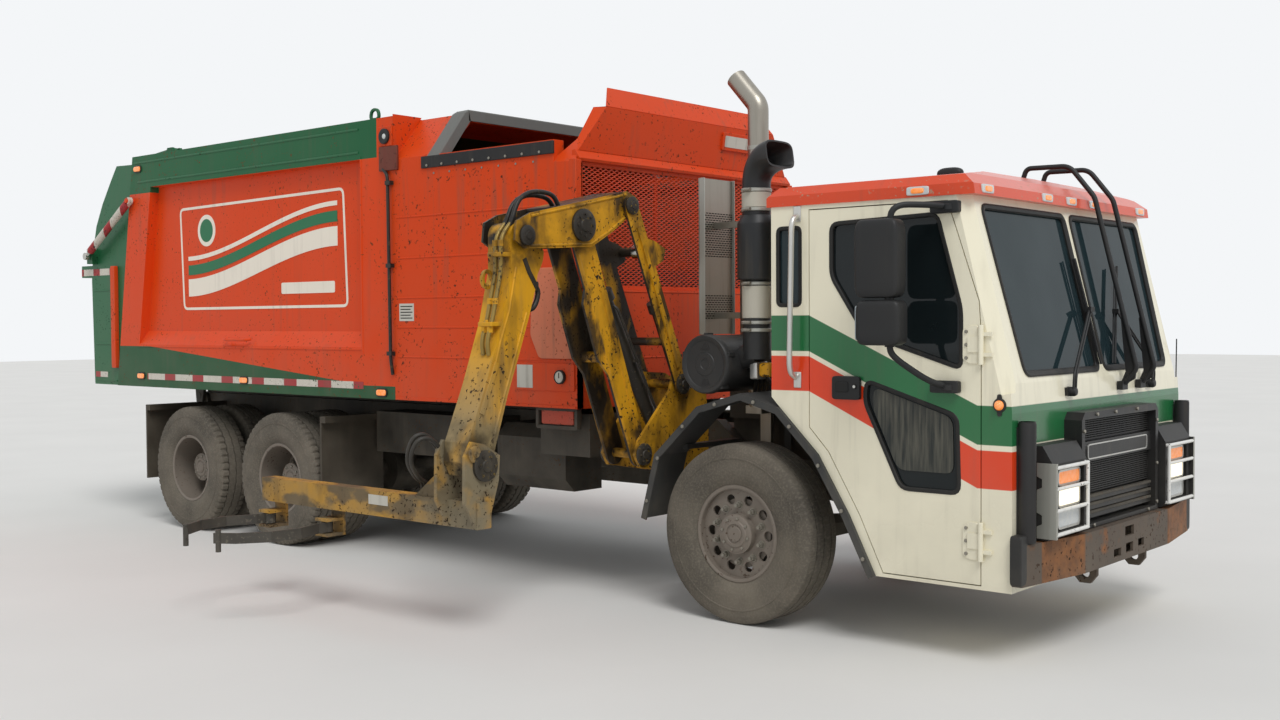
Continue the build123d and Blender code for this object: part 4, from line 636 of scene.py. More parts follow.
# %% Bolts, blocks and soft blocks
def bolts(points, axis, radius, height, sign=1):
    """Hexagon heads with a small dome, all made at once by adding one head to each place."""
    a = np.array([0, height * 0.8, height, height]) * sign
    r = np.array([1, 1, 0.86, 0]) * radius
    head, faces = turned(np.stack([a, r], -1), (0, 0, 0), axis, 6)
    places = np.asarray(points, float).reshape(-1, 1, 3)
    steps = np.arange(len(places))[:, None, None] * len(head)
    return ((places + head[None]).reshape(-1, 3), [tuple(f) for f in (np.array(faces)[None]
        + steps).reshape(-1, 4).tolist()])


def block(low, high):
    """Eight corners between two points."""
    low, high = np.minimum(low, high), np.maximum(low, high)
    corner = np.array([(x, y, z) for x in (0, 1) for y in (0, 1) for z in (0, 1)])
    faces = [(0, 1, 3, 2), (4, 6, 7, 5), (0, 4, 5, 1), (2, 3, 7, 6), (0, 2, 6, 4), (1, 5, 7, 3)]
    return low + corner * (high - low), faces


def soft_block(low, high, square=0.22, rows=20, columns=36):
    """A superellipsoid: each sine and cosine is raised to a small power, so sides stay flat."""
    low, high = np.minimum(low, high), np.maximum(low, high)
    centre, half = (low + high) / 2, (high - low) / 2
    v = np.linspace(-np.pi / 2, np.pi / 2, rows)[:, None]
    u = np.linspace(-np.pi, np.pi, columns, endpoint=False)[None]
    power = lambda value: np.sign(value) * np.abs(value) ** square
    points = np.stack([power(np.cos(v)) * power(np.cos(u)), power(np.cos(v)) * power(np.sin(u)),
        power(np.sin(v)) + 0 * u], -1)
    return grid(centre + half * points, closed_columns=True)


# %% Turn a shape into a piece that rides on a body
def piece(name, shape, finish, rides_on, bevel=0.0, smooth=32, subdivide=0):
    """A mesh object at the origin from one shape or a list, faces outwards, on one moving body."""
    points, faces = merge(*shape) if isinstance(shape, list) else shape
    mesh = bpy.data.meshes.new(name)
    mesh.from_pydata(np.asarray(points).tolist(), [], faces)
    work = bmesh.new()
    work.from_mesh(mesh)
    bmesh.ops.remove_doubles(work, verts=work.verts, dist=2e-6)
    bmesh.ops.recalc_face_normals(work, faces=work.faces)
    work.to_mesh(mesh)
    work.free()
    mesh.shade_smooth()
    mesh.set_sharp_from_angle(angle=math.radians(smooth))
    mesh.materials.append(finish)
    made = bpy.data.objects.new(name, mesh)
    bpy.context.scene.collection.objects.link(made)
    if bevel:
        edge = made.modifiers.new("soft edges", "BEVEL")
        edge.width = bevel
        edge.segments = 2
        edge.limit_method = "ANGLE"
        edge.harden_normals = False
    if subdivide:
        finer = made.modifiers.new("finer", "SUBSURF")
        finer.levels = finer.render_levels = subdivide
    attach(made, rides_on)
    return made


print("shape helpers ready")
# %% [markdown]
# ## Tyres
# A truck tyre is a turned form: one profile goes from bead to bead over the shoulders,
# and four grooves run round the tread. The grooves of the front tyres waver a little, and
# the shoulders of the rear tyres are cut into lugs. Both are small changes of radius and
# width with the angle, so a grid of angle against profile makes the whole tyre.

# %% Tyre surface
TYRE_R, BEAD_R = 0.533, 0.2853


def tyre(x, y, width, lugs=0, turns=180):
    """Profile (across, radius) at each angle; a sine of the angle moves the groove edges."""
    half = width / 2
    side = np.array([(-half + 0.034, BEAD_R), (-half + 0.03, 0.292), (-half + 0.022, 0.302),
        (-half + 0.016, 0.322), (-half + 0.004, 0.35), (-half + 0.004, 0.352), (-half, 0.374),
        (-half, 0.378), (-half + 0.002, 0.4), (-half + 0.003, 0.442), (-half + 0.001, 0.444),
        (-half + 0.001, 0.452), (-half + 0.004, 0.454), (-half + 0.006, 0.482), (-half + 0.012, 0.506),
        (-half + 0.024, 0.526)])
    tread = np.linspace(-half + 0.036, half - 0.036, 5)[1:-1]
    deep, wide = 0.515, 0.006
    cuts = [(-half + 0.036, 0.531)]
    for middle in (*tread[:1] - 0.012, *tread[1:2], *tread[2:] + 0.012):
        cuts += [(middle - wide, 0.5325), (middle - wide * 0.7, deep), (middle + wide * 0.7, deep),
            (middle + wide, 0.5325)]
    cuts.append((half - 0.036, 0.531))
    profile = np.array([*side, *cuts, *(side[::-1] * (-1, 1))])
    across, radius = profile.T
    t = np.linspace(0, 2 * np.pi, turns, endpoint=False)[:, None]
    on_tread = (radius > 0.51) & (np.abs(across) < half - 0.05)
    wave = np.where(on_tread, 0.0028, 0) * np.sign(np.sin(t * 44)) * np.abs(np.sin(t * 44)) ** 0.5
    r = radius[None] + 0 * t
    if lugs:
        gap = (np.mod(t * lugs / (2 * np.pi), 1) > 0.72) & (radius[None] > 0.5)
        gap &= np.abs(across[None]) > half * 0.42
        r = np.where(gap, r - 0.012, r)
    points = np.stack([x + r * np.sin(t), y + across[None] + wave, TYRE_R + r * np.cos(t)], -1)
    return grid(points, closed_rows=True, closed_columns=True)


def tyre_colours(tree, place):
    """Black rubber under a brown-grey film that is scuffed round the wheel."""
    film = noise(tree, place, 0.35, 0.25, 0.8, detail=8.0)
    scuff = noise(tree, place, 0.012, 0.45, 0.75, stretch=(1, 0.4, 1), detail=10.0)
    paint = over(tree, "34312d", "6e665b", film)
    return over(tree, paint, "8b8274", both(tree, scuff, 0.35))


tyre_rubber = weathered("tyre rubber, dusty", tyre_colours, 0.82, 0.4, 1.3, grain=0.0015)
for side, sign in SIDES:
    made = piece("front_tyre_" + side, tyre(0, sign * 1.044, 0.312), tyre_rubber, "front_wheel_" + side)
    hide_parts("tyre_front_" + side)
    for number, x in enumerate((-4.55, -5.87), 1):
        pair = merge(tyre(x, sign * 1.0775, 0.285, lugs=56, turns=224), tyre(x, sign * 0.7425, 0.285,
            lugs=56, turns=224))
        made = piece(f"rear_tyres_{number}_{side}", pair, tyre_rubber, f"rear_wheel_{number}_{side}")
        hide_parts(f"tyres_rear_{number}_{side}")
print("tyre faces:", len(made.data.polygons))

# %% [markdown]
# ## Wheel nuts, hub caps and rim lips
# The front wheel shows a ring of ten nuts around a stepped hub cap, and a rolled lip
# stands against the tyre. The lip and the cap are turned, and the nuts are one hexagon
# head added to ten places at once. The rear wheels have the same nuts deep in the dish.

# %% Wheel fittings
def wheel_fittings(x, face, hub, sign, lip):
    """Nuts on a ring of 0.1675 m, a stepped cap on the hub and a rolled lip on the rim."""
    t = 2 * np.pi * (np.arange(10) + 0.0) / 10
    ring = np.stack([x + 0.1675 * np.sin(t), 0 * t + sign * face, TYRE_R + 0.1675 * np.cos(t)], -1)
    nuts = bolts(ring, "y", 0.0185, 0.026, sign)
    studs = merge(*[tube([p, p + np.array([0, sign * 0.042, 0])], 0.0105, sides=8) for p in ring])
    washers = merge(*[turned([(0, 0), (0, 0.024), (sign * 0.004, 0.024), (sign * 0.004, 0)], p, "y", 16)
        for p in ring])
    cap = turned([(-0.012, 0), (-0.012, 0.11), (0.0, 0.112), (0.004, 0.106), (0.005, 0.082),
        (0.011, 0.076), (0.012, 0.06), (0.006, 0.056), (0.006, 0.048), (0.013, 0.044), (0.015, 0.0)]
        * np.array([sign, 1]), (x, sign * hub, TYRE_R), "y", 48)
    t = 2 * np.pi * np.arange(8) / 8 + 0.2
    cap_bolts = bolts(np.stack([x + 0.094 * np.sin(t), 0 * t + sign * (hub + 0.004),
        TYRE_R + 0.094 * np.cos(t)], -1), "y", 0.009, 0.009, sign)
    rolled = turned([(-0.008, 0.266), (0.004, 0.266), (0.008, 0.272), (0.008, 0.284), (0.002, 0.29),
        (-0.008, 0.29)] * np.array([sign, 1]), (x, sign * lip, TYRE_R), "y", 72)
    closed = (rolled[0], rolled[1])
    return merge(nuts, studs, washers, cap_bolts), merge(cap, closed)


for side, sign in SIDES:
    body = "front_wheel_" + side
    nuts, cap = wheel_fittings(0.0, 1.135, 1.178, sign, 1.166)
    piece("wheel_nuts_front_" + side, nuts, bolt_steel, body)
    piece("hub_cap_front_" + side, cap, wheel_enamel, body, smooth=40)
    for number, x in enumerate((-4.55, -5.87), 1):
        nuts, cap = wheel_fittings(x, 0.924, 1.08, sign, 1.183)
        body = f"rear_wheel_{number}_{side}"
        piece(f"wheel_nuts_rear_{number}_{side}", nuts, bolt_steel, body)
        piece(f"hub_cap_rear_{number}_{side}", cap, wheel_enamel, body, smooth=40)
print("six wheel stations fitted")
# %% [markdown]
# ## Windscreen and door rubbers
# Each pane sits in a black rubber profile that stands a little proud of the paint. The
# profile is one small closed outline carried round the pane's loop, and the loop has
# rounded corners. On the sloping windscreen, X falls by 0.247 for each metre of height.

# %% Rubbers round the glass
SLOPE, BELT_Z = 240 / 970, 1.46
screen = front_face(1.73, SLOPE, BELT_Z)
rubber_section = [(-0.02, -0.018), (-0.02, -0.004), (-0.012, 0.006), (0.004, 0.01), (0.013, 0.006),
    (0.013, -0.018)]


def pane_loop(sign):
    """The windscreen pane as (Y, Z): its slanted height times the slope's cosine."""
    corner = np.array([(0.038, 0.042), (1.0, 0.042), (1.062, 0.947), (0.038, 0.947)])
    corner = corner * (sign, 0.9707) + (0, BELT_Z)
    return soft_outline(corner[::sign], 0.055, 8)


piece("windscreen_rubbers", [strip(pane_loop(s), rubber_section, screen) for s in (-1, 1)], gasket_rubber,
    "chassis")

DOOR_WINDOW = [(0.668, 2.32), (1.322, 2.34), (1.462, 1.842), (1.462, 1.53), (0.88, 1.712), (0.668, 2.03)]
KICK_WINDOW = [(0.892, 1.462), (1.44, 1.29), (1.452, 0.885), (1.105, 0.885), (0.88, 1.345)]
QUARTER = [(0.312, 2.31), (0.47, 2.31), (0.47, 1.87), (0.312, 1.87)]
thin_section = [(-0.014, -0.02), (-0.014, 0.0), (-0.008, 0.004), (0.006, 0.004), (0.009, 0.0),
    (0.009, -0.02)]
for side, sign in SIDES:
    wall = side_face(1.19, sign)
    loops = [strip(soft_outline(loop, 0.05), thin_section, wall) for loop in (DOOR_WINDOW, KICK_WINDOW)]
    piece("door_rubbers_" + side, loops, gasket_rubber, "door_" + side)
    piece("quarter_rubber_" + side, strip(soft_outline(QUARTER, 0.03), thin_section, wall), gasket_rubber,
        "chassis")
    inner = soft_outline([(0.935, 1.425), (1.405, 1.276), (1.412, 0.985), (1.082, 0.985), (0.925, 1.32)],
        0.05)
    piece("kick_window_" + side, plate(inner, side_face(1.1755, sign), 0.0, 0.004), kick_glass,
        "door_" + side)
for name in ("door_glass_right", "door_glass_left"):
    print(name, [round(v, 3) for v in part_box(name)[0]])

# %% [markdown]
# ## Wipers
# Two wipers rise from pivots on the cowl, each with a pair of thin arms and a rubber
# blade. The arms are tubes between points on the sloping windscreen, and the blade is a
# thin strip with a spine.

# %% Wipers
def on_screen(y, z, out=0.03):
    return [1.73 - SLOPE * (z - BELT_Z) + out, y, z]


wiper_parts = []
for pivot, tip, low, high in (((-0.5, 1.395), (-0.07, 1.84), (-0.06, 1.53), (-0.085, 2.13)),
        ((0.66, 1.395), (0.33, 1.83), (0.14, 1.53), (0.52, 2.1))):
    base = np.array([1.76, *pivot])
    wiper_parts.append(turned([(-0.03, 0.0), (-0.03, 0.026), (0.012, 0.026), (0.024, 0.02), (0.028, 0.0)],
        base, "x", 20))
    wiper_parts.append(block(base + (-0.035, -0.04, -0.022), base + (-0.008, 0.05, 0.022)))
    for shift in (-0.016, 0.016):
        route = [base + (0.012, shift, 0), on_screen(pivot[0] + shift, pivot[1] + 0.1, 0.055),
            on_screen(tip[0] + shift, tip[1], 0.045)]
        wiper_parts.append(tube(route, 0.0065, 0.06, 8))
    wiper_parts.append(block(np.array(on_screen(*tip, 0.03)) - (0.008, 0.028, 0.014),
        np.array(on_screen(*tip, 0.056)) + (0.004, 0.028, 0.014)))
    wiper_parts.append(tube([on_screen(*low, 0.03), on_screen(*high, 0.03)], 0.0075, 0, 8))
    wiper_parts.append(tube([on_screen(*low, 0.016), on_screen(*high, 0.016)], 0.0048, 0, 6))
piece("wipers", wiper_parts, moulded_black, "chassis")

# %% [markdown]
# ## Grille mesh and its blank bar
# The grille is a deep black frame with two fine panels and a bar between them, where a
# name would be. The bar stays blank here, with a thin bright edge. The panels are rows of
# slats with uprights, set back in the frame, and small bolts hold the frame.

# %% Grille details
def slats(y0, y1, z0, z1, x, pitch, thick, deep, upright=0.0):
    """Equal slats between two heights, made at once by adding one slat to each height."""
    heights = np.arange(z0, z1, pitch)
    corners, faces = block((x, y0, 0), (x + deep, y1, thick))
    places = np.zeros((len(heights), 1, 3))
    places[:, 0, 2] = heights
    shapes = [((places + corners).reshape(-1, 3), [tuple(f) for f in (np.array(faces) + 8
        * np.arange(len(heights))[:, None, None]).reshape(-1, 4).tolist()])]
    if upright:
        across = np.arange(y0, y1, upright)
        corners, faces = block((x - 0.004, 0, z0), (x + deep * 0.5, thick, z1))
        places = np.zeros((len(across), 1, 3))
        places[:, 0, 1] = across
        shapes.append(((places + corners).reshape(-1, 3), [tuple(f) for f in (np.array(faces) + 8
            * np.arange(len(across))[:, None, None]).reshape(-1, 4).tolist()]))
    return merge(*shapes)


piece("grille_mesh", [slats(-0.515, 0.515, 1.13, 1.236, 1.782, 0.012, 0.005, 0.012, 0.02),
    slats(-0.515, 0.515, 0.838, 1.004, 1.782, 0.012, 0.005, 0.012, 0.02)], moulded_black, "chassis")
bar_edge = soft_outline([(-0.43, 1.026), (0.43, 1.026), (0.43, 1.104), (-0.43, 1.104)], 0.02)
nose = front_face(1.812)
piece("grille_blank_bar", plate(bar_edge, nose, -0.004, 0.006), grille_plastic, "chassis",
    bevel=0.002)
piece("grille_bar_edge", strip(bar_edge, [(-0.004, 0.002), (-0.004, 0.01), (0.003, 0.01), (0.003, 0.002)],
    nose), silver_paint, "chassis")
spots = [(1.8405, y, z) for y in (-0.535, 0.535) for z in (0.7, 0.93, 1.185)]
spots += [(1.8405, y, 1.268) for y in (-0.36, -0.1, 0.22)] + [(1.8405, y, 0.668) for y in (-0.4, 0.4)]
piece("grille_bolts", bolts(spots, "x", 0.011, 0.009), bolt_steel, "chassis")
ledge = [block((1.795, -0.5, z), (1.822, 0.5, z + 0.016)) for z in (0.812, 0.768, 0.724)]
piece("grille_foot_bars", ledge, frame_enamel, "chassis", bevel=0.003)

# %% [markdown]
# ## Headlamps
# Each pod holds two headlights under an amber lamp. Thin white bars guard them, and a
# silver plate with two dark notches closes the outer side.

# %% Lamps, guard bars and side plates
for side, sign in SIDES:
    wall = front_face(1.853)
    lenses = []
    for low, high, finish, name in ((0.93, 1.008, amber_lens, "amber"), (0.818, 0.918, lit_lens, "high"),
            (0.706, 0.808, clear_lens, "low")):
        y0, y1 = 0.65, 0.912
        loop = soft_outline([(sign * y0, low + 0.006), (sign * y1, low + 0.006), (sign * y1, high - 0.006),
            (sign * y0, high - 0.006)][::sign], 0.02)
        piece(f"lamp_{name}_{side}", plate(loop, wall, -0.004, 0.01), finish, "chassis",
            bevel=0.004)
        lenses.append(strip(loop, [(-0.002, -0.002), (-0.002, 0.013), (0.009, 0.013), (0.009, -0.002)],
            wall))
    piece("lamp_bezels_" + side, lenses, silver_paint, "chassis")
    bars = [tube([(1.8905, sign * 0.6, z), (1.8905, sign * 1.012, z)], 0.0103, 0, 12)
        for z in (0.688, 0.81, 0.922, 1.03)]
    bars.append(tube([(1.8905, sign * 0.604, 0.684), (1.8905, sign * 0.604, 1.034)], 0.0103, 0, 12))
    bars += [tube([(1.852, sign * 0.604, z), (1.89, sign * 0.604, z)], 0.0103, 0, 12)
        for z in (0.688, 1.03)]
    piece("lamp_guard_" + side, bars, bright_white, "chassis")
    plate_loop = [(1.794, 0.667), (1.898, 0.667), (1.898, 1.054), (1.794, 1.054), (1.794, 0.985),
        (1.822, 0.972), (1.822, 0.93), (1.794, 0.916), (1.794, 0.8), (1.822, 0.786), (1.822, 0.742),
        (1.794, 0.728)]
    piece("lamp_side_plate_" + side, plate(plate_loop, side_face(1.0165, sign), 0.0, 0.004), galvanised,
        "chassis", bevel=0.0015)
    front_strip = block((1.8975, sign * 1.001, 0.667), (1.9005, sign * 1.0205, 1.054))
    piece("lamp_side_edge_" + side, front_strip, galvanised, "chassis", bevel=0.001)
    cap = soft_block((1.742, sign * 1.12, 0.446), (1.806, sign * 1.224, 0.7), 0.18)
    piece("bumper_end_cap_" + side, cap, moulded_black, "chassis", smooth=60)
    sleeve = turned([(0, 0), (0, 0.04), (0.004, 0.0445), (0.6, 0.0445), (0.612, 0.038), (0.612, 0.0)],
        (1.787, sign * 1.115, 0.658), "z", 32)
    piece("corner_sleeve_" + side, sleeve, strip_rubber, "chassis")
print("front of the cab done")

# %% [markdown]
# ## Mirrors
# Two rounded housings hang on a bent tube outside each door, between two black brackets.
# Each housing is a superellipsoid, a ball whose sines are raised to a small power until
# its sides go flat. The mirror glass faces rearwards.

# %% Mirror housings, tubes and glass
# The mirror panes' light grey-blue base colour is a painted reflection.
mirror_glass = glass("mirror glass, light painted reflection", "aab4b8", 0.0, rough=0.02)
for side, sign in SIDES:
    y = sign * 1.445
    parts = [soft_block((1.006, y - 0.062, 1.9), (1.258, y + 0.058, 2.306), 0.26),
        soft_block((1.014, y - 0.062, 1.655), (1.268, y + 0.062, 1.89), 0.3)]
    arm = [(1.4, sign * 1.215, 2.37), (1.33, sign * 1.3, 2.378), (1.2, y, 2.378), (1.185, y, 2.25),
        (1.185, y, 1.66), (1.2, y, 1.6), (1.33, sign * 1.3, 1.47), (1.395, sign * 1.215, 1.44)]
    parts.append(tube(arm, 0.0165, 0.09, 14))
    for z in (2.368, 1.439):
        parts.append(soft_block((1.3, sign * 1.1905, z - 0.032), (1.462, sign * 1.236, z + 0.032), 0.2))
        parts.append(turned([(0, 0), (0, 0.03), (0.026, 0.03), (0.032, 0.022), (0.032, 0)],
            (1.405, sign * 1.222, z - 0.016), "z", 24))
    for z in (1.9, 2.3, 1.87, 1.66):
        parts.append(turned([(-0.012, 0), (-0.012, 0.024), (0.012, 0.024), (0.012, 0)], (1.186, y, z), "z",
            20))
    made = piece("mirror_set_" + side, parts, moulded_black, "door_" + side, smooth=50)
    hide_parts("mirrors_" + side)
    panes = []
    for low, high in ((1.935, 2.27), (1.682, 1.862)):
        loop = soft_outline([(y - 0.042, low), (y + 0.04, low), (y + 0.04, high), (y - 0.042, high)], 0.02)
        panes.append(plate(loop, lambda a, b, c: np.stack([1.0105 - c + 0 * a, a, b], -1), 0, 0.004))
    piece("mirror_panes_" + side, panes, mirror_glass, "door_" + side)

# %% [markdown]
# ## Door furniture
# The handle is a black moulded housing with a paddle and a lock. The hinges carry bolts,
# and a satin handrail runs up the cab behind the door.

# %% Handles, hinges and handrail
def hexagon_row(x, zs, y, sign, radius=0.01):
    return bolts([(x, sign * y, z) for z in zs], "y", radius, 0.007, sign)


for side, sign in SIDES:
    door = "door_" + side
    shell = soft_block((0.69, sign * 1.188, 1.352), (0.866, sign * 1.2175, 1.48), 0.2)
    piece("door_handle_" + side, shell, moulded_black, door, smooth=60)
    paddle = merge(soft_block((0.712, sign * 1.205, 1.392), (0.798, sign * 1.2235, 1.452), 0.3),
        turned([(0, 0), (0, 0.013), (sign * 0.006, 0.013), (sign * 0.006, 0)],
        (0.838, sign * 1.216, 1.425), "y", 20))
    piece("door_paddle_" + side, paddle, gasket_rubber, door, smooth=60)
    piece("door_lock_" + side, turned([(0, 0), (0, 0.009), (sign * 0.003, 0.008), (sign * 0.003, 0)],
        (0.838, sign * 1.2225, 1.425), "y", 16), silver_paint, door)
    leaf, screws = [], []
    for low, high in ((1.56, 1.755), (0.552, 0.745)):
        outline = soft_outline([(1.47, low + 0.02), (1.508, low), (1.556, low), (1.556, high),
            (1.508, high), (1.47, high - 0.02)], 0.012)
        leaf.append(plate(outline, side_face(1.19, sign), -0.002, 0.007))
        leaf.append(tube([(1.576, sign * 1.204, low - 0.004), (1.576, sign * 1.204, high + 0.004)], 0.0145,
            0, 16))
        middle = (low + high) / 2
        screws.append(hexagon_row(1.492, (low + 0.03, middle, high - 0.03), 1.197, sign))
    piece("door_hinges_" + side, leaf, cab_enamel, door, bevel=0.002)
    piece("hinge_bolts_" + side, screws, bolt_steel, door)
    rail = tube([(0.452, sign * 1.188, 2.372), (0.452, sign * 1.252, 2.35), (0.437, sign * 1.256, 1.5),
        (0.437, sign * 1.188, 1.462)], 0.0165, 0.07, 16)
    feet = [block((0.425, sign * 1.189, z - 0.045), (0.475, sign * 1.197, z + 0.045))
        for z in (2.385, 1.452)]
    piece("hand_rail_" + side, rail, silver_paint, "chassis", smooth=60)
    piece("hand_rail_feet_" + side, feet, silver_paint, "chassis", bevel=0.004)
    lamp = turned([(0, 0), (0, 0.026), (sign * 0.012, 0.025), (sign * 0.026, 0.016), (sign * 0.03, 0.0)],
        (1.673, sign * 1.192, 1.352), "y", 28)
    piece("turn_lamp_" + side, lamp, amber_lens, "chassis", smooth=60)
    bezel = turned([(-0.004, 0.02), (0.0, 0.037), (sign * 0.006, 0.034), (sign * 0.007, 0.025)],
        (1.673, sign * 1.191, 1.352), "y", 28)
    ears = plate(soft_outline([(1.662, 1.296), (1.684, 1.296), (1.69, 1.352), (1.684, 1.408),
        (1.662, 1.408), (1.656, 1.352)], 0.012), side_face(1.19, sign), -0.001, 0.005)
    piece("turn_lamp_base_" + side, [bezel, ears], moulded_black, "chassis")

# %% [markdown]
# ## Roof lamps and fender bolts
# Five clearance lamps sit across the roof's front edge and one on each side, each an
# amber lens on a clear base. The fenders are held by bolts.

# %% Roof lamps, aerial and fender bolts
bases, glows = [], []
for y in (-1.055, -0.325, 0.0, 0.325, 1.055):
    x, z = 1.5335, 2.462
    bases.append(soft_block((x - 0.01, y - 0.066, z - 0.023), (x + 0.012, y + 0.066, z + 0.023), 0.3))
    glows.append(soft_block((x + 0.002, y - 0.04, z - 0.015), (x + 0.017, y + 0.04, z + 0.015), 0.5))
for sign in (-1, 1):
    y, z = sign * 1.2, 2.4625
    bases.append(soft_block((1.148, y - 0.008, z - 0.023), (1.28, y + 0.008, z + 0.023), 0.3))
    glows.append(soft_block((1.174, y - 0.014, z - 0.015), (1.254, y + 0.014, z + 0.015), 0.5))
piece("roof_lamp_bases", bases, clear_lens, "chassis", smooth=60)
piece("roof_lamp_glows", glows, amber_lens, "chassis", smooth=60)
fin = soft_block((0.845, -0.335, 2.6), (1.01, -0.265, 2.68), 0.7)
aerial = tube([(1.722, 1.196, 1.41), (1.722, 1.204, 1.655)], 0.004, 0, 8)
piece("roof_fin", fin, moulded_black, "chassis", smooth=60)
piece("aerial", aerial, moulded_black, "chassis")
ARCH = np.array([(0.955, 0.4), (0.79, 0.72), (0.59, 1.04), (0.33, 1.29), (0.06, 1.365), (-0.26, 1.275),
    (-0.59, 0.97), (-0.7, 0.57)])
arch_line = rounded(np.column_stack([ARCH, 0 * ARCH[:, 0]]), 0.12)[:, :2]
step = np.concatenate([[0], np.cumsum(np.linalg.norm(np.diff(arch_line, axis=0), axis=1))])
at = np.linspace(0.1, step[-1] - 0.12, 9)
inset = np.column_stack([np.interp(at, step, arch_line[:, 0]), np.interp(at, step, arch_line[:, 1])])
toward = unit(np.array([0.05, 0.45]) - inset) * 0.02
inset = inset + toward
for side, sign in SIDES:
    heads = bolts([(a, sign * 1.2155, b) for a, b in inset], "y", 0.012, 0.01, sign)
    piece("fender_bolts_" + side, heads, bolt_steel, "chassis")
# %% [markdown]
# ## The arm's pins and bosses
# Every pin of the arm ends in a round boss. The biggest one, at the boom's head, is a dark
# disc with a ring of bolts, and the others are small collars around the pin ends.

# %% Bosses and pin caps
def boss(pin, x, radius, sign, ring=0, deep=0.02):
    """A flat dome facing sideways, with a ring of bolt heads when ring is set."""
    y, z = PINS[pin]
    profile = [(0, 0), (0, radius), (sign * deep * 0.7, radius), (sign * deep, radius * 0.86),
        (sign * deep, radius * 0.42), (sign * deep * 1.4, radius * 0.36), (sign * deep * 1.4, 0)]
    shapes = [turned(profile, (x, y, z), "x", 40)]
    if ring:
        turn = np.linspace(0, 2 * np.pi, ring, endpoint=False)
        places = np.column_stack([x + sign * deep + 0 * turn, y + radius * 0.66 * np.cos(turn),
            z + radius * 0.66 * np.sin(turn)])
        shapes.append(bolts(places, "x", radius * 0.085, 0.009, sign))
    return merge(*shapes)


def both_ends(pin, reach, radius, ring=0, deep=0.02):
    return merge(*[boss(pin, ARM_X + s * reach, radius, s, ring, deep) for s in (-1, 1)])


boss_steel = weathered("boss steel, black with grease", "2c2823", 0.42, 0.3, 1.5, 0.3, 0.5, "8a6f2c", 0.7)
for pin, reach, radius, ring, body, deep in (("boom head", 0.1435, 0.098, 8, "top_link", 0.022),
        ("elbow", 0.1435, 0.058, 0, "top_link", 0.018), ("link head", 0.1735, 0.056, 0, "boom_link",
        0.016), ("boom foot", 0.1455, 0.07, 6, "chassis", 0.018), ("link foot", 0.1735, 0.066, 6,
        "boom_link", 0.018), ("wrist", 0.1305, 0.088, 6, "grabber", 0.022)):
    piece(pin.replace(" ", "_") + "_bosses", both_ends(pin, reach, radius, ring, deep), boss_steel, body,
        smooth=35)

# %% [markdown]
# ## Stiffeners and weld beads
# The photo shows raised strips along the arm's plates and a rounded lobe under the elbow.
# The strips are shallow plates laid on the outer faces, and the welds are rounded beads.

# %% Raised strips on the arm's plates
def arm_face(x, sign=1):
    """Places (a, b, c) on a plate of the arm: a is Y, b is Z, c stands out sideways."""
    return lambda a, b, c: np.stack([x + sign * c + 0 * a, a, b + 0 * a], -1)


def lengthwise(foot, head, start, end, across):
    """Points along the line from one pin to another, shifted across it."""
    foot, head = np.array(foot), np.array(head)
    run = unit(head - foot)
    side = np.array([-run[1], run[0]]) * across
    return foot + run * start + side, head - run * end + side


weld = [(-0.009, -0.002), (-0.006, 0.005), (0, 0.007), (0.006, 0.005), (0.009, -0.002)]
rib = [(-0.016, -0.002), (-0.016, 0.012), (0.016, 0.012), (0.016, -0.002)]
collar = [(-0.016, -0.002), (-0.013, 0.007), (0.013, 0.007), (0.016, -0.002)]
for sign in (-1, 1):
    tag = "front" if sign > 0 else "rear"
    boom_side = arm_face(ARM_X + sign * 0.112, sign)
    lines = [strip(lengthwise(PINS["boom foot"], PINS["boom head"], 0.14, 0.22, -0.046), collar, boom_side,
        closed=False), strip(lengthwise(PINS["boom foot"], PINS["boom head"], 0.1, 0.16, 0.07), weld,
        boom_side, closed=False)]
    piece("boom_ribs_" + tag, lines, boom_enamel, "boom")
    link_side = arm_face(ARM_X + sign * 0.172, sign)
    piece("link_ribs_" + tag, strip(lengthwise(PINS["link foot"], PINS["link head"], 0.12, 0.14, 0.0), rib,
        link_side, closed=False), arm_enamel, "boom_link")
    fore_side = arm_face(ARM_X + sign * 0.095, sign)
    edges = [strip([(-2.15, 2.1), (-2.205, 1.85), (-2.275, 1.68), (-2.312, 1.56)], weld, fore_side,
        closed=False), strip([(-2.312, 1.56), (-2.43, 1.275)], rib, fore_side, closed=False),
        strip([(-2.068, 1.84), (-2.156, 1.61), (-2.25, 1.37), (-2.345, 1.11)], weld, fore_side,
        closed=False)]
    piece("forearm_welds_" + tag, edges, forearm_enamel, "forearm", bevel=0.002)
    seam = strip([(-2.085, 2.15), (-2.048, 2.075), (-1.985, 1.985)], collar, fore_side, closed=False)
    piece("forearm_seam_" + tag, seam, boss_steel, "forearm")
    top_side = arm_face(ARM_X + sign * 0.142, sign)
    rim = [(-2.075, 2.392), (-1.7, 2.47), (-1.25, 2.568)]
    low = [(-2.1, 2.222), (-1.9, 2.233), (-1.565, 2.253), (-1.395, 2.342), (-1.185, 2.475)]
    piece("top_link_welds_" + tag, [strip(line, weld, top_side, closed=False) for line in (rim, low)],
        arm_enamel, "top_link")

lobe = soft_outline([(-2.01, 2.222), (-1.88, 2.214), (-1.892, 2.14), (-1.935, 2.065), (-1.975, 2.01),
    (-2.04, 2.06)], 0.03)
piece("elbow_lobe", plate(lobe, arm_face(ARM_X), -0.058, 0.058), forearm_enamel, "forearm",
    bevel=0.004)

# %% [markdown]
# ## Pipes on the arm
# Two steel pipes run down the forearm's outer edge, held by clamp blocks. At the top two
# hoses arch over the elbow. They are drawn in one fixed form, so each one stays with the
# arm part that carries it.

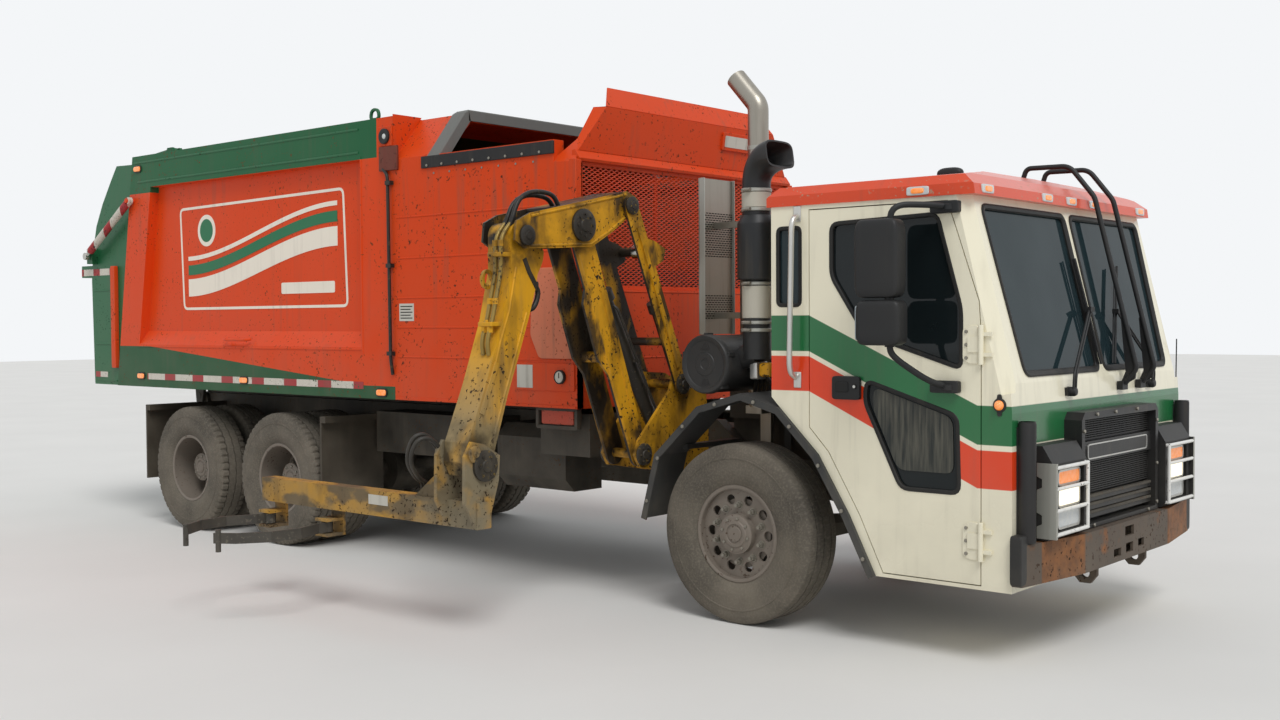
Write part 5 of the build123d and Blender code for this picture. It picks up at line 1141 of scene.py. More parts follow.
# %% Forearm pipes, clamps and the elbow loop
pipe_steel = weathered("pipe steel, yellowed", "8d7434", 0.4, 0.4, 1.5, 0.4, 0.8, "3b3226", 0.5, metal=0.4)
hose_rubber = weathered("hose rubber, oily black", "1b1a19", 0.42, 0.35, 1.5, 0.3, 0.4, "5a4a30", 0.4)
EDGE = np.array([(-2.19, 2.3), (-2.19, 2.08), (-2.262, 1.79), (-2.392, 1.44), (-2.53, 1.12)])


def outside(z, gap):
    """A point beside the forearm's outer edge at height z, gap metres away from it."""
    return float(np.interp(z, EDGE[::-1, 1], EDGE[::-1, 0])) - gap, z


pipes, blocks, loops = [], [], []
for shift in (0.018, 0.062):
    x = ARM_X + shift
    route = [outside(z, 0.046) for z in (2.27, 2.08, 1.79, 1.68)] + [outside(1.6, 0.004)]
    pipes.append(tube([(x, -2.15, 2.362)] + [(x, *point) for point in route], 0.0125, 0.06, 12))
    for z in (2.235, 1.905, 1.745):
        y, z = outside(z, 0.046)
        blocks.append(turned([(-0.017, 0), (-0.017, 0.019), (0.017, 0.019), (0.017, 0)], (x, y, z), "z", 6))
for z in (2.17, 1.775):
    y, z = outside(z, 0.0)
    blocks.append(soft_block((ARM_X - 0.02, y - 0.08, z - 0.013), (ARM_X + 0.094, y + 0.012, z + 0.013),
        0.2))
    blocks.append(bolts(np.array([(ARM_X + 0.04, y - 0.062, z + 0.013)]), "z", 0.01, 0.012, 1))
piece("forearm_pipes", pipes, pipe_steel, "forearm", smooth=60)
piece("forearm_clamps", blocks, arm_enamel, "forearm", smooth=50)
for shift, rise in ((0.018, 0.0), (0.062, 0.018)):
    x = ARM_X + shift
    loops.append(tube([(x, -2.152, 2.358), (x, -2.1, 2.47 + rise), (x, -2.01, 2.52 + rise),
        (x, -1.905, 2.53 + rise), (x, -1.8, 2.515 + rise), (x, -1.752, 2.445)], 0.014, 0.09, 14))
    loops.append(tube([(x, -2.165, 2.333), (x, -2.138, 2.385)], 0.0185, 0, 6))
piece("elbow_hoses", loops, hose_rubber, "forearm", smooth=60)
eye = outside(2.03, 0.062)
turn = np.linspace(0, 2 * np.pi, 28, endpoint=False)
ring = strip(np.column_stack([eye[0] + 0.036 * np.cos(turn), eye[1] + 0.046 * np.sin(turn)]),
    [(-0.011, -0.011), (-0.011, 0.011), (0.011, 0.011), (0.011, -0.011)], arm_face(ARM_X - 0.025))
piece("lifting_loop", ring, arm_enamel, "forearm", bevel=0.003)
lever = merge(tube([(ARM_X + 0.075, -2.02, 2.02), (ARM_X + 0.075, -1.952, 1.975),
    (ARM_X + 0.075, -1.962, 1.915), (ARM_X + 0.075, -1.992, 1.868), (ARM_X + 0.075, -2.03, 1.856)], 0.016,
    0.03, 12), soft_block((ARM_X + 0.052, -2.012, 1.96), (ARM_X + 0.094, -1.962, 2.022), 0.4))
piece("elbow_fitting", lever, hose_rubber, "forearm", smooth=60)

# %% [markdown]
# ## Cylinders and grabber pipes
# Each ram has a gland ring at the barrel's mouth and a pipe clipped along its barrel.
# On the grabber, two hoses loop from the wrist to the beam, which carries a blank label.

# %% Ram fittings, grabber hoses and label
def along_ram(foot, head, at, side=0.0, x=0.0):
    foot, head = np.array(foot), np.array(head)
    run = unit(head - foot)
    y, z = foot + run * at + np.array([-run[1], run[0]]) * side
    return (ARM_X + x, y, z)


for name, foot, head, radius, mouth in (("lift_barrel", (-0.774, 1.01), (-1.5, 2.29), 0.052, 0.37),
        ("reach_barrel", (-0.545, 1.36), (-0.96, 2.23), 0.046, 0.36)):
    length = float(np.linalg.norm(np.subtract(head, foot)))
    end = length - mouth
    ring_points = [along_ram(foot, head, end - 0.06), along_ram(foot, head, end + 0.006)]
    gland = tube(ring_points, radius + 0.012, 0, 28)
    line = tube([along_ram(foot, head, 0.11, 0, radius + 0.004), along_ram(foot, head, 0.12, 0,
        radius + 0.024), along_ram(foot, head, end - 0.12, 0, radius + 0.024),
        along_ram(foot, head, end - 0.1, 0, radius + 0.004)], 0.009, 0.02, 10)
    clips = [block(np.subtract(along_ram(foot, head, at, 0, radius + 0.012), (0.012, 0.018, 0.01)),
        np.add(along_ram(foot, head, at, 0, radius + 0.028), (0.004, 0.018, 0.01)))
        for at in (0.22, end * 0.55)]
    piece(name + "_fittings", [gland, line, *clips], oily_steel, name, smooth=50)
lines = []
for x, rise in ((-1.042, 0.0), (-1.07, 0.02)):
    lines.append(tube([(x, -2.545, 1.085), (x - 0.01, -2.61, 1.15 + rise), (x - 0.04, -2.69, 1.13 + rise),
        (x - 0.09, -2.69, 1.01), (x - 0.15, -2.57, 0.9), (x - 0.215, -2.462, 0.87),
        (x - 0.23, -2.455, 0.784)], 0.0125, 0.07, 12))
    lines.append(tube([(x, -2.52, 1.075), (x, -2.55, 1.088)], 0.0185, 0, 6))
piece("grabber_hoses", lines, hose_rubber, "grabber", smooth=60)
piece("grabber_label", block((-1.731, -2.5072, 0.708), (-1.553, -2.5045, 0.766)), label_white, "grabber")
pin_ends = [turned([(0, 0), (0, 0.046), (s * 0.012, 0.046), (s * 0.016, 0.04), (s * 0.016, 0.018),
    (s * 0.03, 0.016), (s * 0.03, 0)], (ARM_X + s * 0.1285, -2.518, 1.06), "x", 28) for s in (-1, 1)]
piece("outer_wrist_pins", pin_ends, grab_enamel, "grabber", smooth=35)
print("arm pieces done")
# %% [markdown]
# ## The hopper's front screen
# The screen is expanded metal: zigzag strands that meet at every second corner. All the
# strands share one zigzag shape, so the corners of every strand are computed at once from
# the row number and the corner number.

# %% Expanded metal
def expanded(y0, y1, z0, z1, x, pitch_y, pitch_z, wide, thick):
    """Strand r, corner c: z = z0 + (2r + (c odd, mirrored every other row))*half, y = y0 + c*step."""
    columns = int(round((y1 - y0) / (pitch_y / 2))) + 1
    rows = int(round((z1 - z0) / pitch_z)) + 1
    c = np.arange(columns)[None, :]
    r = np.arange(rows)[:, None]
    y = np.linspace(y0, y1, columns)[None, :] + 0 * r
    lift = np.where((c + r) % 2 == 0, 1, -1) * (pitch_z / 2 - wide * 0.3)
    z = np.clip(z0 + r * pitch_z + lift, z0, z1)
    corners = np.array([(-thick / 2, -wide / 2), (thick / 2, -wide / 2), (thick / 2, wide / 2),
        (-thick / 2, wide / 2)])
    points = np.zeros((rows, columns, 4, 3))
    points[..., 0] = x + corners[:, 0]
    points[..., 1] = y[..., None]
    points[..., 2] = z[..., None] + corners[:, 1]
    number = np.arange(rows * columns * 4).reshape(rows, columns, 4)
    ahead, turn = number[:, 1:], np.roll(number, -1, 2)
    faces = np.stack([number[:, :-1], ahead, turn[:, 1:], turn[:, :-1]], -1).reshape(-1, 4)
    return points.reshape(-1, 3), [tuple(f) for f in faces.tolist()]


mesh_shape = expanded(-1.14, 1.14, 2.01, 2.812, -1.2615, 0.054, 0.014, 0.0062, 0.006)
mesh_screen = piece("screen_mesh", mesh_shape, screen_enamel, "body")
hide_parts("hopper_screen")
frame_line = soft_outline([(-1.15, 2.004), (1.15, 2.004), (1.15, 2.816), (-1.15, 2.816)], 0.02)
edge = strip(frame_line, [(-0.022, -0.009), (-0.022, 0.004), (0.008, 0.004), (0.008, -0.009)],
    front_face(-1.26))
stays = [block((-1.276, y - 0.012, 2.01), (-1.266, y + 0.012, 2.812)) for y in (-0.38, 0.38)]
piece("screen_frame", [edge, *stays], hopper_enamel, "body", bevel=0.002)

# %% [markdown]
# ## Hopper walls and hood
# The hopper is a box of welded sheets: two side walls, a front frame round the screen, and
# a shoulder at the rear of the opening. The hood over the screen has two flat faces, the
# lower leaning forwards and the upper leaning back, with slanted returns at its ends.

# %% Hopper walls, front frame and hood
def sheet(corners, thick):
    """A flat panel: its corners, and the same corners moved back along its normal."""
    p = np.array(corners, float)
    normal = np.cross(p[1] - p[0], p[2] - p[0])
    back = p - normal / np.linalg.norm(normal) * thick
    n = len(p)
    sides = [(i, (i + 1) % n, n + (i + 1) % n, n + i) for i in range(n)]
    return np.concatenate([p, back]), sides + [tuple(range(n))[::-1], tuple(range(n, 2 * n))]


def across(x):
    """Places (a, b, c) on a plane across the truck: a is Y, b is Z, c goes forwards."""
    return lambda a, b, c: np.stack([x + c, a, b], -1)


walls = [block((-1.29, -1.219, 1.222), (-1.23, 1.219, 2.0)), block((-3.05, -0.902, 3.225),
    (-2.56, 0.902, 3.28)), plate([(-1.29, 2.82), (-1.23, 2.82), (-1.222, 2.838), (-1.262, 2.894),
    (-1.29, 2.894)], lambda a, b, c: np.stack([a, c, b], -1), -1.19, 1.19)]
foot, fold, crest = (-1.262, 1.165, 2.893), (-1.215, 0.945, 3.19), (-1.29, 0.85, 3.33)
for s in (-1, 1):
    low, mid, top = [(x, s * y, z) for x, y, z in (foot, fold, crest)]
    corner, heel = (-1.232, s * 1.219, 2.816), (-1.46, s * 1.219, 2.826)
    waist, neck = (-1.325, s * 1.1, 2.976), (-1.288, s * 0.985, 3.19)
    walls.append(plate([(-3.05, 1.222), (-1.23, 1.222), (-1.23, 2.816), (-1.425, 2.826), (-1.425, 2.97),
        (-3.05, 2.97)], side_face(1.16, s), 0.0, 0.06))
    walls.append(block((-2.74, min(s * 1.125, s * 1.161), 2.88), (-1.425, max(s * 1.125, s * 1.161), 2.97)))
    walls.append(block((-1.29, min(s * 1.16, s * 1.219), 1.99), (-1.23, max(s * 1.16, s * 1.219), 2.83)))
    walls.append(plate([(s * 1.22, 2.969), (s * 0.96, 3.28), (s * 0.9, 3.28), (s * 0.9, 3.225),
        (s * 1.16, 2.95)], across(-3.05), 0.0, 0.49))
    walls += [sheet([corner, heel, waist, low][::s], 0.005), sheet([low, waist, neck, mid][::s], 0.005)]
walls.append(sheet([foot, (foot[0], -foot[1], foot[2]), (fold[0], -fold[1], fold[2]), fold], 0.006))
walls.append(sheet([fold, (fold[0], -fold[1], fold[2]), (crest[0], -crest[1], crest[2]), crest], 0.006))
hopper_shell = piece("hopper_shell", walls, hopper_enamel, "body", bevel=0.0015)
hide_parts("hopper_walls")

# %% [markdown]
# ## Seams and folds of the hopper
# The side walls are folded sheets, welded together along level seams. Each seam is a
# shallow bead with a rounded section, slightly proud of the wall.

# %% Hopper seams, rubber edges and corner posts
bead = [(-0.007, -0.002), (-0.005, 0.003), (0, 0.0045), (0.005, 0.003), (0.007, -0.002)]
SIDE_Y = 1.22
seams = []
for sign in (-1, 1):
    wall = side_face(SIDE_Y, sign)
    for z, x0, x1 in ((2.545, -3.015, -1.285), (2.25, -3.015, -1.285), (1.963, -3.015, -1.285),
            (1.75, -3.015, -1.285), (1.537, -3.015, -1.285)):
        seams.append(strip([(x0, z), (x1, z)], bead, wall, closed=False))
piece("hopper_seams", seams, hopper_enamel, "body")
front = front_face(-1.23)
levels = [strip([(-1.215, z), (1.215, z)], bead, front, closed=False) for z in (1.985, 1.54)]
piece("front_seams", levels, hopper_enamel, "body")
# %% Rubber edges of the hopper's opening
black = [block((-2.725, -SIDE_Y - 0.014, 2.878), (-1.418, -SIDE_Y + 0.002, 2.962)),
    block((-2.725, SIDE_Y - 0.002, 2.878), (-1.418, SIDE_Y + 0.014, 3.03))]
piece("hopper_side_rubbers", black, strip_rubber, "body", bevel=0.003)
clamp_bolts = [(x, s * (SIDE_Y + 0.014), 2.895) for x in np.arange(-2.66, -1.43, 0.16) for s in (-1,)]
piece("hopper_rubber_bolts", [bolts(clamp_bolts, "y", 0.01, 0.007, -1)], bolt_steel, "body")
rim_route = [(-1.225, 2.948), (-0.975, 3.275), (-0.94, 3.296), (0.94, 3.296), (0.975, 3.275),
    (1.225, 2.948)]
rim_edge = [(0.002, -2.668), (-0.01, -2.665), (-0.012, -2.545), (-0.004, -2.538), (0.066, -2.538),
    (0.066, -2.558), (0.002, -2.558)]
piece("opening_rim", strip(rim_route, rim_edge, lambda a, b, c: np.stack([c, a, b], -1), closed=False),
    rim_rubber, "body")
webs = [plate([(s * 1.2195, 2.955), (s * 1.2195, 3.2985), (s * 0.95, 3.2985)], lambda a, b,
    c: np.stack([-3.05 + c, a, b], -1), 0.001, 0.006) for s in (-1, 1)]
piece("corner_webs", webs, hopper_enamel, "body")
small_holes = [(x, -SIDE_Y - 0.001, 2.838) for x in np.arange(-2.6, -1.55, 0.165)]
piece("hopper_rivets", bolts(small_holes, "y", 0.008, 0.004, -1), bolt_steel, "body")
post = [block((-1.244, s * 1.168, 2.0), (-1.226, s * 1.2235, 2.83)) for s in (-1, 1)]
piece("front_post_folds", post, hopper_enamel, "body", bevel=0.006)

# %% [markdown]
# ## The side panels and their signs
# Each long side is a recessed panel. On it sits a thin white frame with a plain pattern of
# sweeping bands, a disc and a blank bar. A band is an S-curve with a thickness, and all of
# them are thin films laid on the panel.

# %% Sign frame, bands, disc and bar
RECESS_Y = 1.1405


def sign_film(outline, side, high=0.0022):
    return plate(outline, side_face(RECESS_Y, side), -0.001, high)


def sweep(low, thick, side, high, rise=0.36, x0=-5.93, x1=-3.82):
    """A band over the S-curve z = low + rise * (3t^2 - 2t^3), where t runs from 0 to 1 along X."""
    t = np.linspace(0, 1, 41)
    x, z = x0 + (x1 - x0) * t, low + rise * (3 * t ** 2 - 2 * t ** 3)
    return sign_film(np.concatenate([np.column_stack([x, z]), np.column_stack([x, z + thick])[::-1]]),
        side, high)


def disc(x, z, radius, side, high):
    turn = np.linspace(0, 2 * np.pi, 48, endpoint=False)
    return sign_film(np.column_stack([x + radius * np.cos(turn), z + radius * np.sin(turn)]), side, high)


for side_name, side in SIDES:
    outer = soft_outline([(-6.049, 2.779), (-3.745, 2.812), (-3.703, 1.916), (-6.005, 1.914)][::-1], 0.05)
    line = strip(outer, [(-0.011, -0.001), (-0.011, 0.002), (0.011, 0.002), (0.011, -0.001)],
        side_face(RECESS_Y, side))
    blank = sign_film(soft_outline([(-4.56, 2.02), (-3.86, 2.02), (-3.86, 2.11), (-4.56, 2.11)], 0.015),
        side)
    white = [line, blank, sweep(2.02, 0.15, side, 0.0022), sweep(2.33, 0.036, side, 0.0022),
        disc(-5.64, 2.58, 0.135, side, 0.0022)]
    piece("sign_white_" + side_name, white, sign_white, "body")
    green = [sweep(2.205, 0.085, side, 0.0022), disc(-5.64, 2.58, 0.098, side, 0.0034)]
    piece("sign_green_" + side_name, green, sign_green, "body")

# %% Tape, marker lamps and the post's pipe
for side, s in SIDES:
    wall = side_face(SIDE_Y, s)
    bands = [block((-6.5, s * (SIDE_Y - 0.001), 1.29), (-3.42, s * (SIDE_Y + 0.0022), 1.344))]
    piece("body_tape_" + side, bands, safety_tape, "body")
    lens_row, base_row = [], []
    for x, z in ((-4.983, 1.318), (-6.6, 1.318), (-3.2, 1.27), (-6.61, 3.17)):
        loop = soft_outline([(x - 0.052, z - 0.022), (x + 0.052, z - 0.022), (x + 0.052, z + 0.022),
            (x - 0.052, z + 0.022)], 0.02)
        lens_row.append(plate(loop, wall, 0.002, 0.02))
        base_row.append(strip(loop, [(-0.002, -0.001), (-0.002, 0.01), (0.01, 0.008), (0.01, -0.001)],
            wall))
    piece("side_markers_" + side, lens_row, amber_lens, "body", bevel=0.006)
    piece("marker_bases_" + side, base_row, moulded_black, "body")
    pipe = tube([(-3.15, s * 1.232, 2.905), (-3.085, s * 1.244, 2.86), (-3.07, s * 1.244, 1.52),
        (-3.062, s * 1.232, 1.405)], 0.0125, 0.05, 12)
    clips = [block((-3.1, s * (SIDE_Y - 0.002), z - 0.015), (-3.045, s * (SIDE_Y + 0.038), z + 0.015))
        for z in (2.8, 2.2, 1.56)]
    piece("post_pipe_" + side, [pipe, *clips], hose_rubber, "body")
    at = (-3.125, s * (SIDE_Y + 0.012), 3.142)
    ring = turned([(0, 0), (0, 0.056), (s * 0.014, 0.056), (s * 0.018, 0.048), (s * 0.01, 0.024),
        (s * 0.01, 0)], at, "y", 32)
    dome = turned([(s * 0.009, 0), (s * 0.009, 0.021), (s * 0.016, 0.013), (s * 0.018, 0)], at, "y", 20)
    piece("work_lamp_" + side, ring, moulded_black, "body", smooth=50)
    piece("work_lamp_lens_" + side, dome, clear_lens, "body", smooth=60)
    lamp_box = block((-3.2, s * (SIDE_Y - 0.002), 3.07), (-3.05, s * (SIDE_Y + 0.012), 3.215))
    piece("work_lamp_box_" + side, lamp_box, hopper_enamel, "body", bevel=0.004)
    bracket = block((-3.19, s * (SIDE_Y - 0.002), 2.89), (-2.985, s * (SIDE_Y + 0.02), 3.068))
    piece("pipe_bracket_" + side, bracket, rusty_brown, "body", bevel=0.006)
    eye = strip(soft_outline([(-3.39, 3.296), (-3.375, 3.368), (-3.3, 3.368), (-3.285, 3.296)], 0.04),
        [(-0.01, -0.01), (-0.01, 0.01), (0.01, 0.01), (0.01, -0.01)], side_face(1.15, s))
    piece("lifting_eye_" + side, eye, gate_enamel, "body", bevel=0.002)

# %% [markdown]
# ## Panel folds, rails and the tailgate
# The body's wall has a folded lip round its recess and stiff rails above it. The tailgate
# has a latch bar, ribs, a striped bumper shelf and lamps.

# %% Rails, ribs and tailgate furniture
fold = [(-0.01, -0.002), (-0.007, 0.004), (0, 0.006), (0.007, 0.004), (0.01, -0.002)]
for side, s in SIDES:
    wall = side_face(SIDE_Y, s)
    rails = [strip([(-6.64, 1.585), (-3.43, 1.585)], fold, wall, closed=False),
        strip([(-3.425, 1.56), (-3.425, 3.02)], fold, wall, closed=False)]
    piece("body_folds_" + side, rails, body_enamel, "body")
    high = [strip([(-6.62, 3.052), (-3.45, 3.052)], fold, wall, closed=False),
        strip([(-6.7, 3.225), (-3.45, 3.225)], fold, wall, closed=False)]
    piece("rail_folds_" + side, high, gate_enamel, "body")
    hook = tube([(-5.24, s * (SIDE_Y - 0.004), 1.655), (-5.23, s * (SIDE_Y + 0.03), 1.65),
        (-4.9, s * (SIDE_Y + 0.03), 1.65), (-4.89, s * (SIDE_Y - 0.004), 1.655)], 0.012, 0.04, 12)
    piece("side_rail_" + side, hook, body_enamel, "body")
    gate_wall = side_face(1.18, s)
    ribs = [strip([(-7.505, 2.1), (-7.08, 2.1)], fold, gate_wall, closed=False),
        strip([(-7.49, 1.6), (-7.1, 1.6)], fold, gate_wall, closed=False), strip([(-7.48, 1.26),
        (-7.11, 1.26)], fold, gate_wall, closed=False)]
    piece("gate_folds_" + side, ribs, gate_enamel, "tailgate")
    latch = soft_block((-7.135, s * 1.182, 1.38), (-7.06, s * 1.2215, 2.32), 0.12)
    piece("gate_latch_" + side, latch, hopper_enamel, "tailgate", smooth=50)
    shelf_tape = block((-7.738, s * 1.1785, 2.24), (-7.12, s * 1.1825, 2.302))
    piece("gate_tape_" + side, shelf_tape, striped_paint, "tailgate")
    foot_tape = block((-7.5, s * 1.1785, 1.29), (-7.28, s * 1.1825, 1.34))
    piece("gate_low_tape_" + side, foot_tape, safety_tape, "tailgate")


def gate_face(a, b, c):
    """The tailgate's rear face: it leans in by 30 mm from its belly to its foot."""
    lean = np.where(b < 2.2, (2.2 - b) * 0.0307, (b - 2.2) * 0.1)
    return np.stack([-7.55 + lean - c, a, b + 0 * a], -1)


rear_ribs = [strip([(-1.12, z), (1.12, z)], [(-0.03, -0.004), (-0.024, 0.026), (0.024, 0.026),
    (0.03, -0.004)], gate_face, closed=False) for z in (2.06, 1.8, 1.54, 1.29)]
rear_ribs += [strip([(s * 1.135, 1.235), (s * 1.135, 2.2)], [(-0.035, -0.004), (-0.03, 0.03), (0.03, 0.03),
    (0.035, -0.004)], gate_face, closed=False) for s in (-1, 1)]
piece("gate_ribs", rear_ribs, gate_enamel, "tailgate")
shelf_back = block((-7.741, -1.16, 2.245), (-7.738, 1.16, 2.318))
piece("shelf_tape", shelf_back, striped_paint, "tailgate")
reds, ambers, rims = [], [], []
for s in (-1, 1):
    for y, box_of in ((0.985, reds), (0.865, reds), (0.745, ambers)):
        at = turned([(0, 0), (0, 0.048), (-0.014, 0.046), (-0.022, 0.03), (-0.024, 0)],
            (-7.566, s * y, 1.415), "x", 28)
        box_of.append(at)
        rims.append(turned([(0.02, 0.058), (-0.012, 0.058), (-0.016, 0.05), (-0.012, 0.047)],
            (-7.566, s * y, 1.415), "x", 28))
piece("tail_lamps_red", reds, red_lens, "tailgate", smooth=60)
piece("tail_lamps_amber", ambers, amber_lens, "tailgate", smooth=60)
piece("tail_lamp_rims", rims, moulded_black, "tailgate")
print("body pieces done")
# %% Hopper side: cover, labels, gauge and its panel
faded_enamel = weathered("hopper cover, faded orange", "cf7250", 0.6, 0.35, 2.6, 0.6, 0.2, "8a4a35",
    soil="b59a88")
wall = side_face(SIDE_Y, -1)
cover_line = soft_outline([(-1.615, 2.14), (-1.25, 2.14), (-1.25, 1.545), (-1.56, 1.545), (-1.64, 1.7)],
    0.03)
piece("hopper_cover", plate(cover_line, wall, -0.002, 0.016), faded_enamel, "body",
    bevel=0.006)
panel_line = soft_outline([(-1.79, 1.515), (-1.245, 1.515), (-1.245, 1.335), (-1.79, 1.335)], 0.02)
piece("gauge_panel", plate(panel_line, wall, -0.002, 0.01), hopper_enamel, "body",
    bevel=0.003)
labels = [((-2.992, -2.832), (1.796, 1.922)), ((-1.768, -1.622), (1.35, 1.502))]
films, marks = [], []
for (x0, x1), (z0, z1) in labels:
    high = 0.0125 if x0 > -2 else 0.003
    films.append(plate([(x0, z0), (x1, z0), (x1, z1), (x0, z1)], wall, 0.0, high))
piece("labels", films, label_white, "body")
bars = []
for (x0, x1), (z0, z1) in labels[:1]:
    for k in range(5):
        z = z0 + 0.018 + k * 0.021
        bars.append(block((x0 + 0.014, -SIDE_Y - 0.0038, z), (x1 - 0.014 - 0.02 * (k % 2), -SIDE_Y - 0.002,
            z + 0.007)))
piece("label_bars", bars, black_paint_and_hole_shade, "body")
dial = [turned([(0, 0), (0, 0.046), (-0.02, 0.046), (-0.026, 0.041), (-0.02, 0.037), (-0.02, 0)],
    (-1.365, -SIDE_Y - 0.008, 1.427), "y", 32)]
piece("gauge_case", dial, moulded_black, "body")
piece("gauge_face", turned([(0, 0), (0, 0.037), (-0.002, 0.037), (-0.002, 0)],
    (-1.365, -SIDE_Y - 0.0265, 1.427), "y", 32), label_white, "body")
needle = block((-1.3675, -SIDE_Y - 0.031, 1.42), (-1.3625, -SIDE_Y - 0.0285, 1.455))
piece("gauge_needle", needle, black_paint_and_hole_shade, "body")

# %% The red box under the hopper
red_enamel = weathered("box enamel, red and dusty", "b13a22", 0.5, 0.4, 2.0, 0.6, 0.5, "4b3226")
box_front = soft_block((-1.59, -1.185, 1.112), (-1.3, -1.135, 1.222), 0.12)
frame_loop = soft_outline([(-1.63, 1.085), (-1.262, 1.085), (-1.262, 1.222), (-1.63, 1.222)], 0.02)
box_frame = strip(frame_loop, [(-0.02, -0.03), (-0.02, 0.012), (0.004, 0.012), (0.004, -0.03)],
    side_face(1.18, -1))
piece("side_box", [box_front], red_enamel, "body", smooth=50)
piece("side_box_frame", box_frame, frame_enamel, "body")
rails = []
for z in (1.3,):
    rails.append(block((-2.95, -SIDE_Y - 0.01, z), (-1.85, -SIDE_Y + 0.002, z + 0.018)))
lower_edge = [strip([(-3.04, 1.232), (-1.24, 1.232)], [(-0.009, -0.002), (-0.007, 0.006), (0.007, 0.006),
    (0.009, -0.002)], side_face(SIDE_Y, s), closed=False) for s in (-1, 1)]
piece("hopper_foot_edges", lower_edge, hopper_enamel, "body")

# %% Blank name box on the hood
hood = front_face(-1.262, -0.158, 2.893)
name_box = soft_outline([(0.316, 3.022), (0.66, 3.022), (0.66, 3.15), (0.316, 3.15)], 0.012)
piece("blank_name_box", plate(name_box, hood, -0.002, 0.022), hopper_enamel, "body",
    bevel=0.004)
inner = soft_outline([(0.34, 3.046), (0.636, 3.046), (0.636, 3.126), (0.34, 3.126)], 0.01)
piece("blank_name_film", plate(inner, hood, 0.022, 0.0245), label_white, "body")
print("hopper details done")
# %% [markdown]
# ## Air intake, exhaust and heat shield
# The intake's clamps, sleeves and canister cap are turned from small profiles round the
# pipe's axis, and its mouth goes from a circle to a flared oblong. The heat shield's rows
# of oblong holes are not cut: thin matt black slots laid on it are painted shade where
# the holes would be.

# %% Intake rings and canister cap
INTAKE = np.array([0.06, -1.04])
PIPE = 0.084
RAIL_OUT, RAIL_FOOT = 0.43, 0.69


def ring(z0, z1, out, lip=0.004):
    """A band round the vertical intake pipe, with softened edges."""
    r = PIPE + out
    profile = [(z0, PIPE - 0.004), (z0, r - lip), (z0 + lip, r), (z1 - lip, r), (z1, r - lip),
        (z1, PIPE - 0.004)]
    return turned(profile, (*INTAKE, 0), "z", 40)


def duct(foot, radius, wide, high, steps=18, sides=44):
    """An elbow turning forwards; its section goes from a circle to a rounded oblong mouth."""
    t = np.concatenate([np.linspace(0, 1, steps), [1.0, 0.985, 0.6]])
    inset = np.concatenate([np.zeros(steps), [0.01, 0.012, 0.014]])
    angle = np.deg2rad(82) * t
    x = foot[0] + 0.155 * (1 - np.cos(angle)) + 0.035 * t ** 4
    z = foot[2] + 0.165 * np.sin(angle)
    a = np.linspace(0, 2 * np.pi, sides, endpoint=False)
    power = 2 / (2 + 2.2 * t ** 2)[:, None]
    across_y = np.sign(np.cos(a)) * np.abs(np.cos(a)) ** power * (radius + (wide - radius) * t ** 2
        - inset)[:, None]
    over = np.sign(np.sin(a)) * np.abs(np.sin(a)) ** power * (radius + (high - radius) * t ** 2 - inset)[:,
        None]
    points = np.stack([x[:, None] - over * np.cos(angle)[:, None], foot[1] + across_y,
        z[:, None] + over * np.sin(angle)[:, None]], -1)
    number = np.arange(points.shape[0] * sides).reshape(-1, sides)
    turn = np.roll(number, -1, 1)
    faces = np.stack([number[:-1], turn[:-1], turn[1:], number[1:]], -1).reshape(-1, 4)
    return points.reshape(-1, 3), [tuple(f) for f in faces.tolist()] + [tuple(number[0])[::-1],
        tuple(number[-1])]


ix, iy = INTAKE
shell = [tube([(ix, iy, 1.56), (ix, iy, 2.59)], PIPE, 0, 44), duct((ix, iy, 2.588), PIPE, 0.14, 0.08),
    tube([(ix, iy, 2.03), (ix, iy, 2.36)], 0.112, 0, 44), turned([(-0.175, 0), (-0.175, 0.166),
    (-0.169, 0.172), (0.274, 0.172), (0.28, 0.166), (0.28, 0)], (-0.19, iy, 1.53), "y", 56),
    tube([(ix, iy, 1.6), (-0.15, iy, 1.53)], 0.07, 0, 32), block((-0.145, iy + 0.27, 1.44),
    (-0.095, -RAIL_OUT, 1.49)), block((-0.145, -RAIL_OUT - 0.03, RAIL_FOOT + 0.03),
    (-0.095, -RAIL_OUT, 1.49))]
intake = piece("intake_duct", shell, intake_plastic, "chassis", smooth=40)
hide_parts("air_intake")
rings = [ring(2.54, 2.562, 0.007), ring(2.428, 2.448, 0.007), ring(1.995, 2.016, 0.009),
    ring(1.72, 1.742, 0.009), ring(1.765, 1.785, 0.009)]
piece("intake_clamps", rings, galvanised, "chassis")
sleeve = [ring(2.448, 2.54, 0.003), ring(1.8, 1.992, 0.003)]
sleeve_paint = weathered("intake sleeve, dusty silver", "b9b4a6", 0.5, 0.3, 2.2, 0.3)
piece("intake_sleeves", sleeve, sleeve_paint, "chassis")
shoulders = turned([(2.018, 0.08), (2.03, 0.113), (2.036, 0.1145), (2.352, 0.1145), (2.358, 0.113),
    (2.405, 0.088), (2.405, 0.08)], (*INTAKE, 0), "z", 48)
piece("intake_separator", shoulders, intake_plastic, "chassis", smooth=25)
screws = [(-0.004, 0.016), (0.016, 0.016), (0.02, 0.01), (0.02, 0)]
worm = merge(*[turned([(0, 0), (0, 0.011), (0.045, 0.011), (0.045, 0)], (INTAKE[0] - 0.02,
    INTAKE[1] - PIPE - 0.014, z), "x", 10) for z in (2.551, 2.438, 2.006, 1.731, 1.775)])
piece("intake_screws", worm, bolt_steel, "chassis")
cap_profile = [(0, 0), (0, 0.03), (-0.004, 0.034), (-0.004, 0.066), (0.0, 0.07), (0.0, 0.14),
    (-0.008, 0.148), (-0.01, 0.168), (0.0, 0.176), (0.03, 0.178), (0.03, 0.172)]
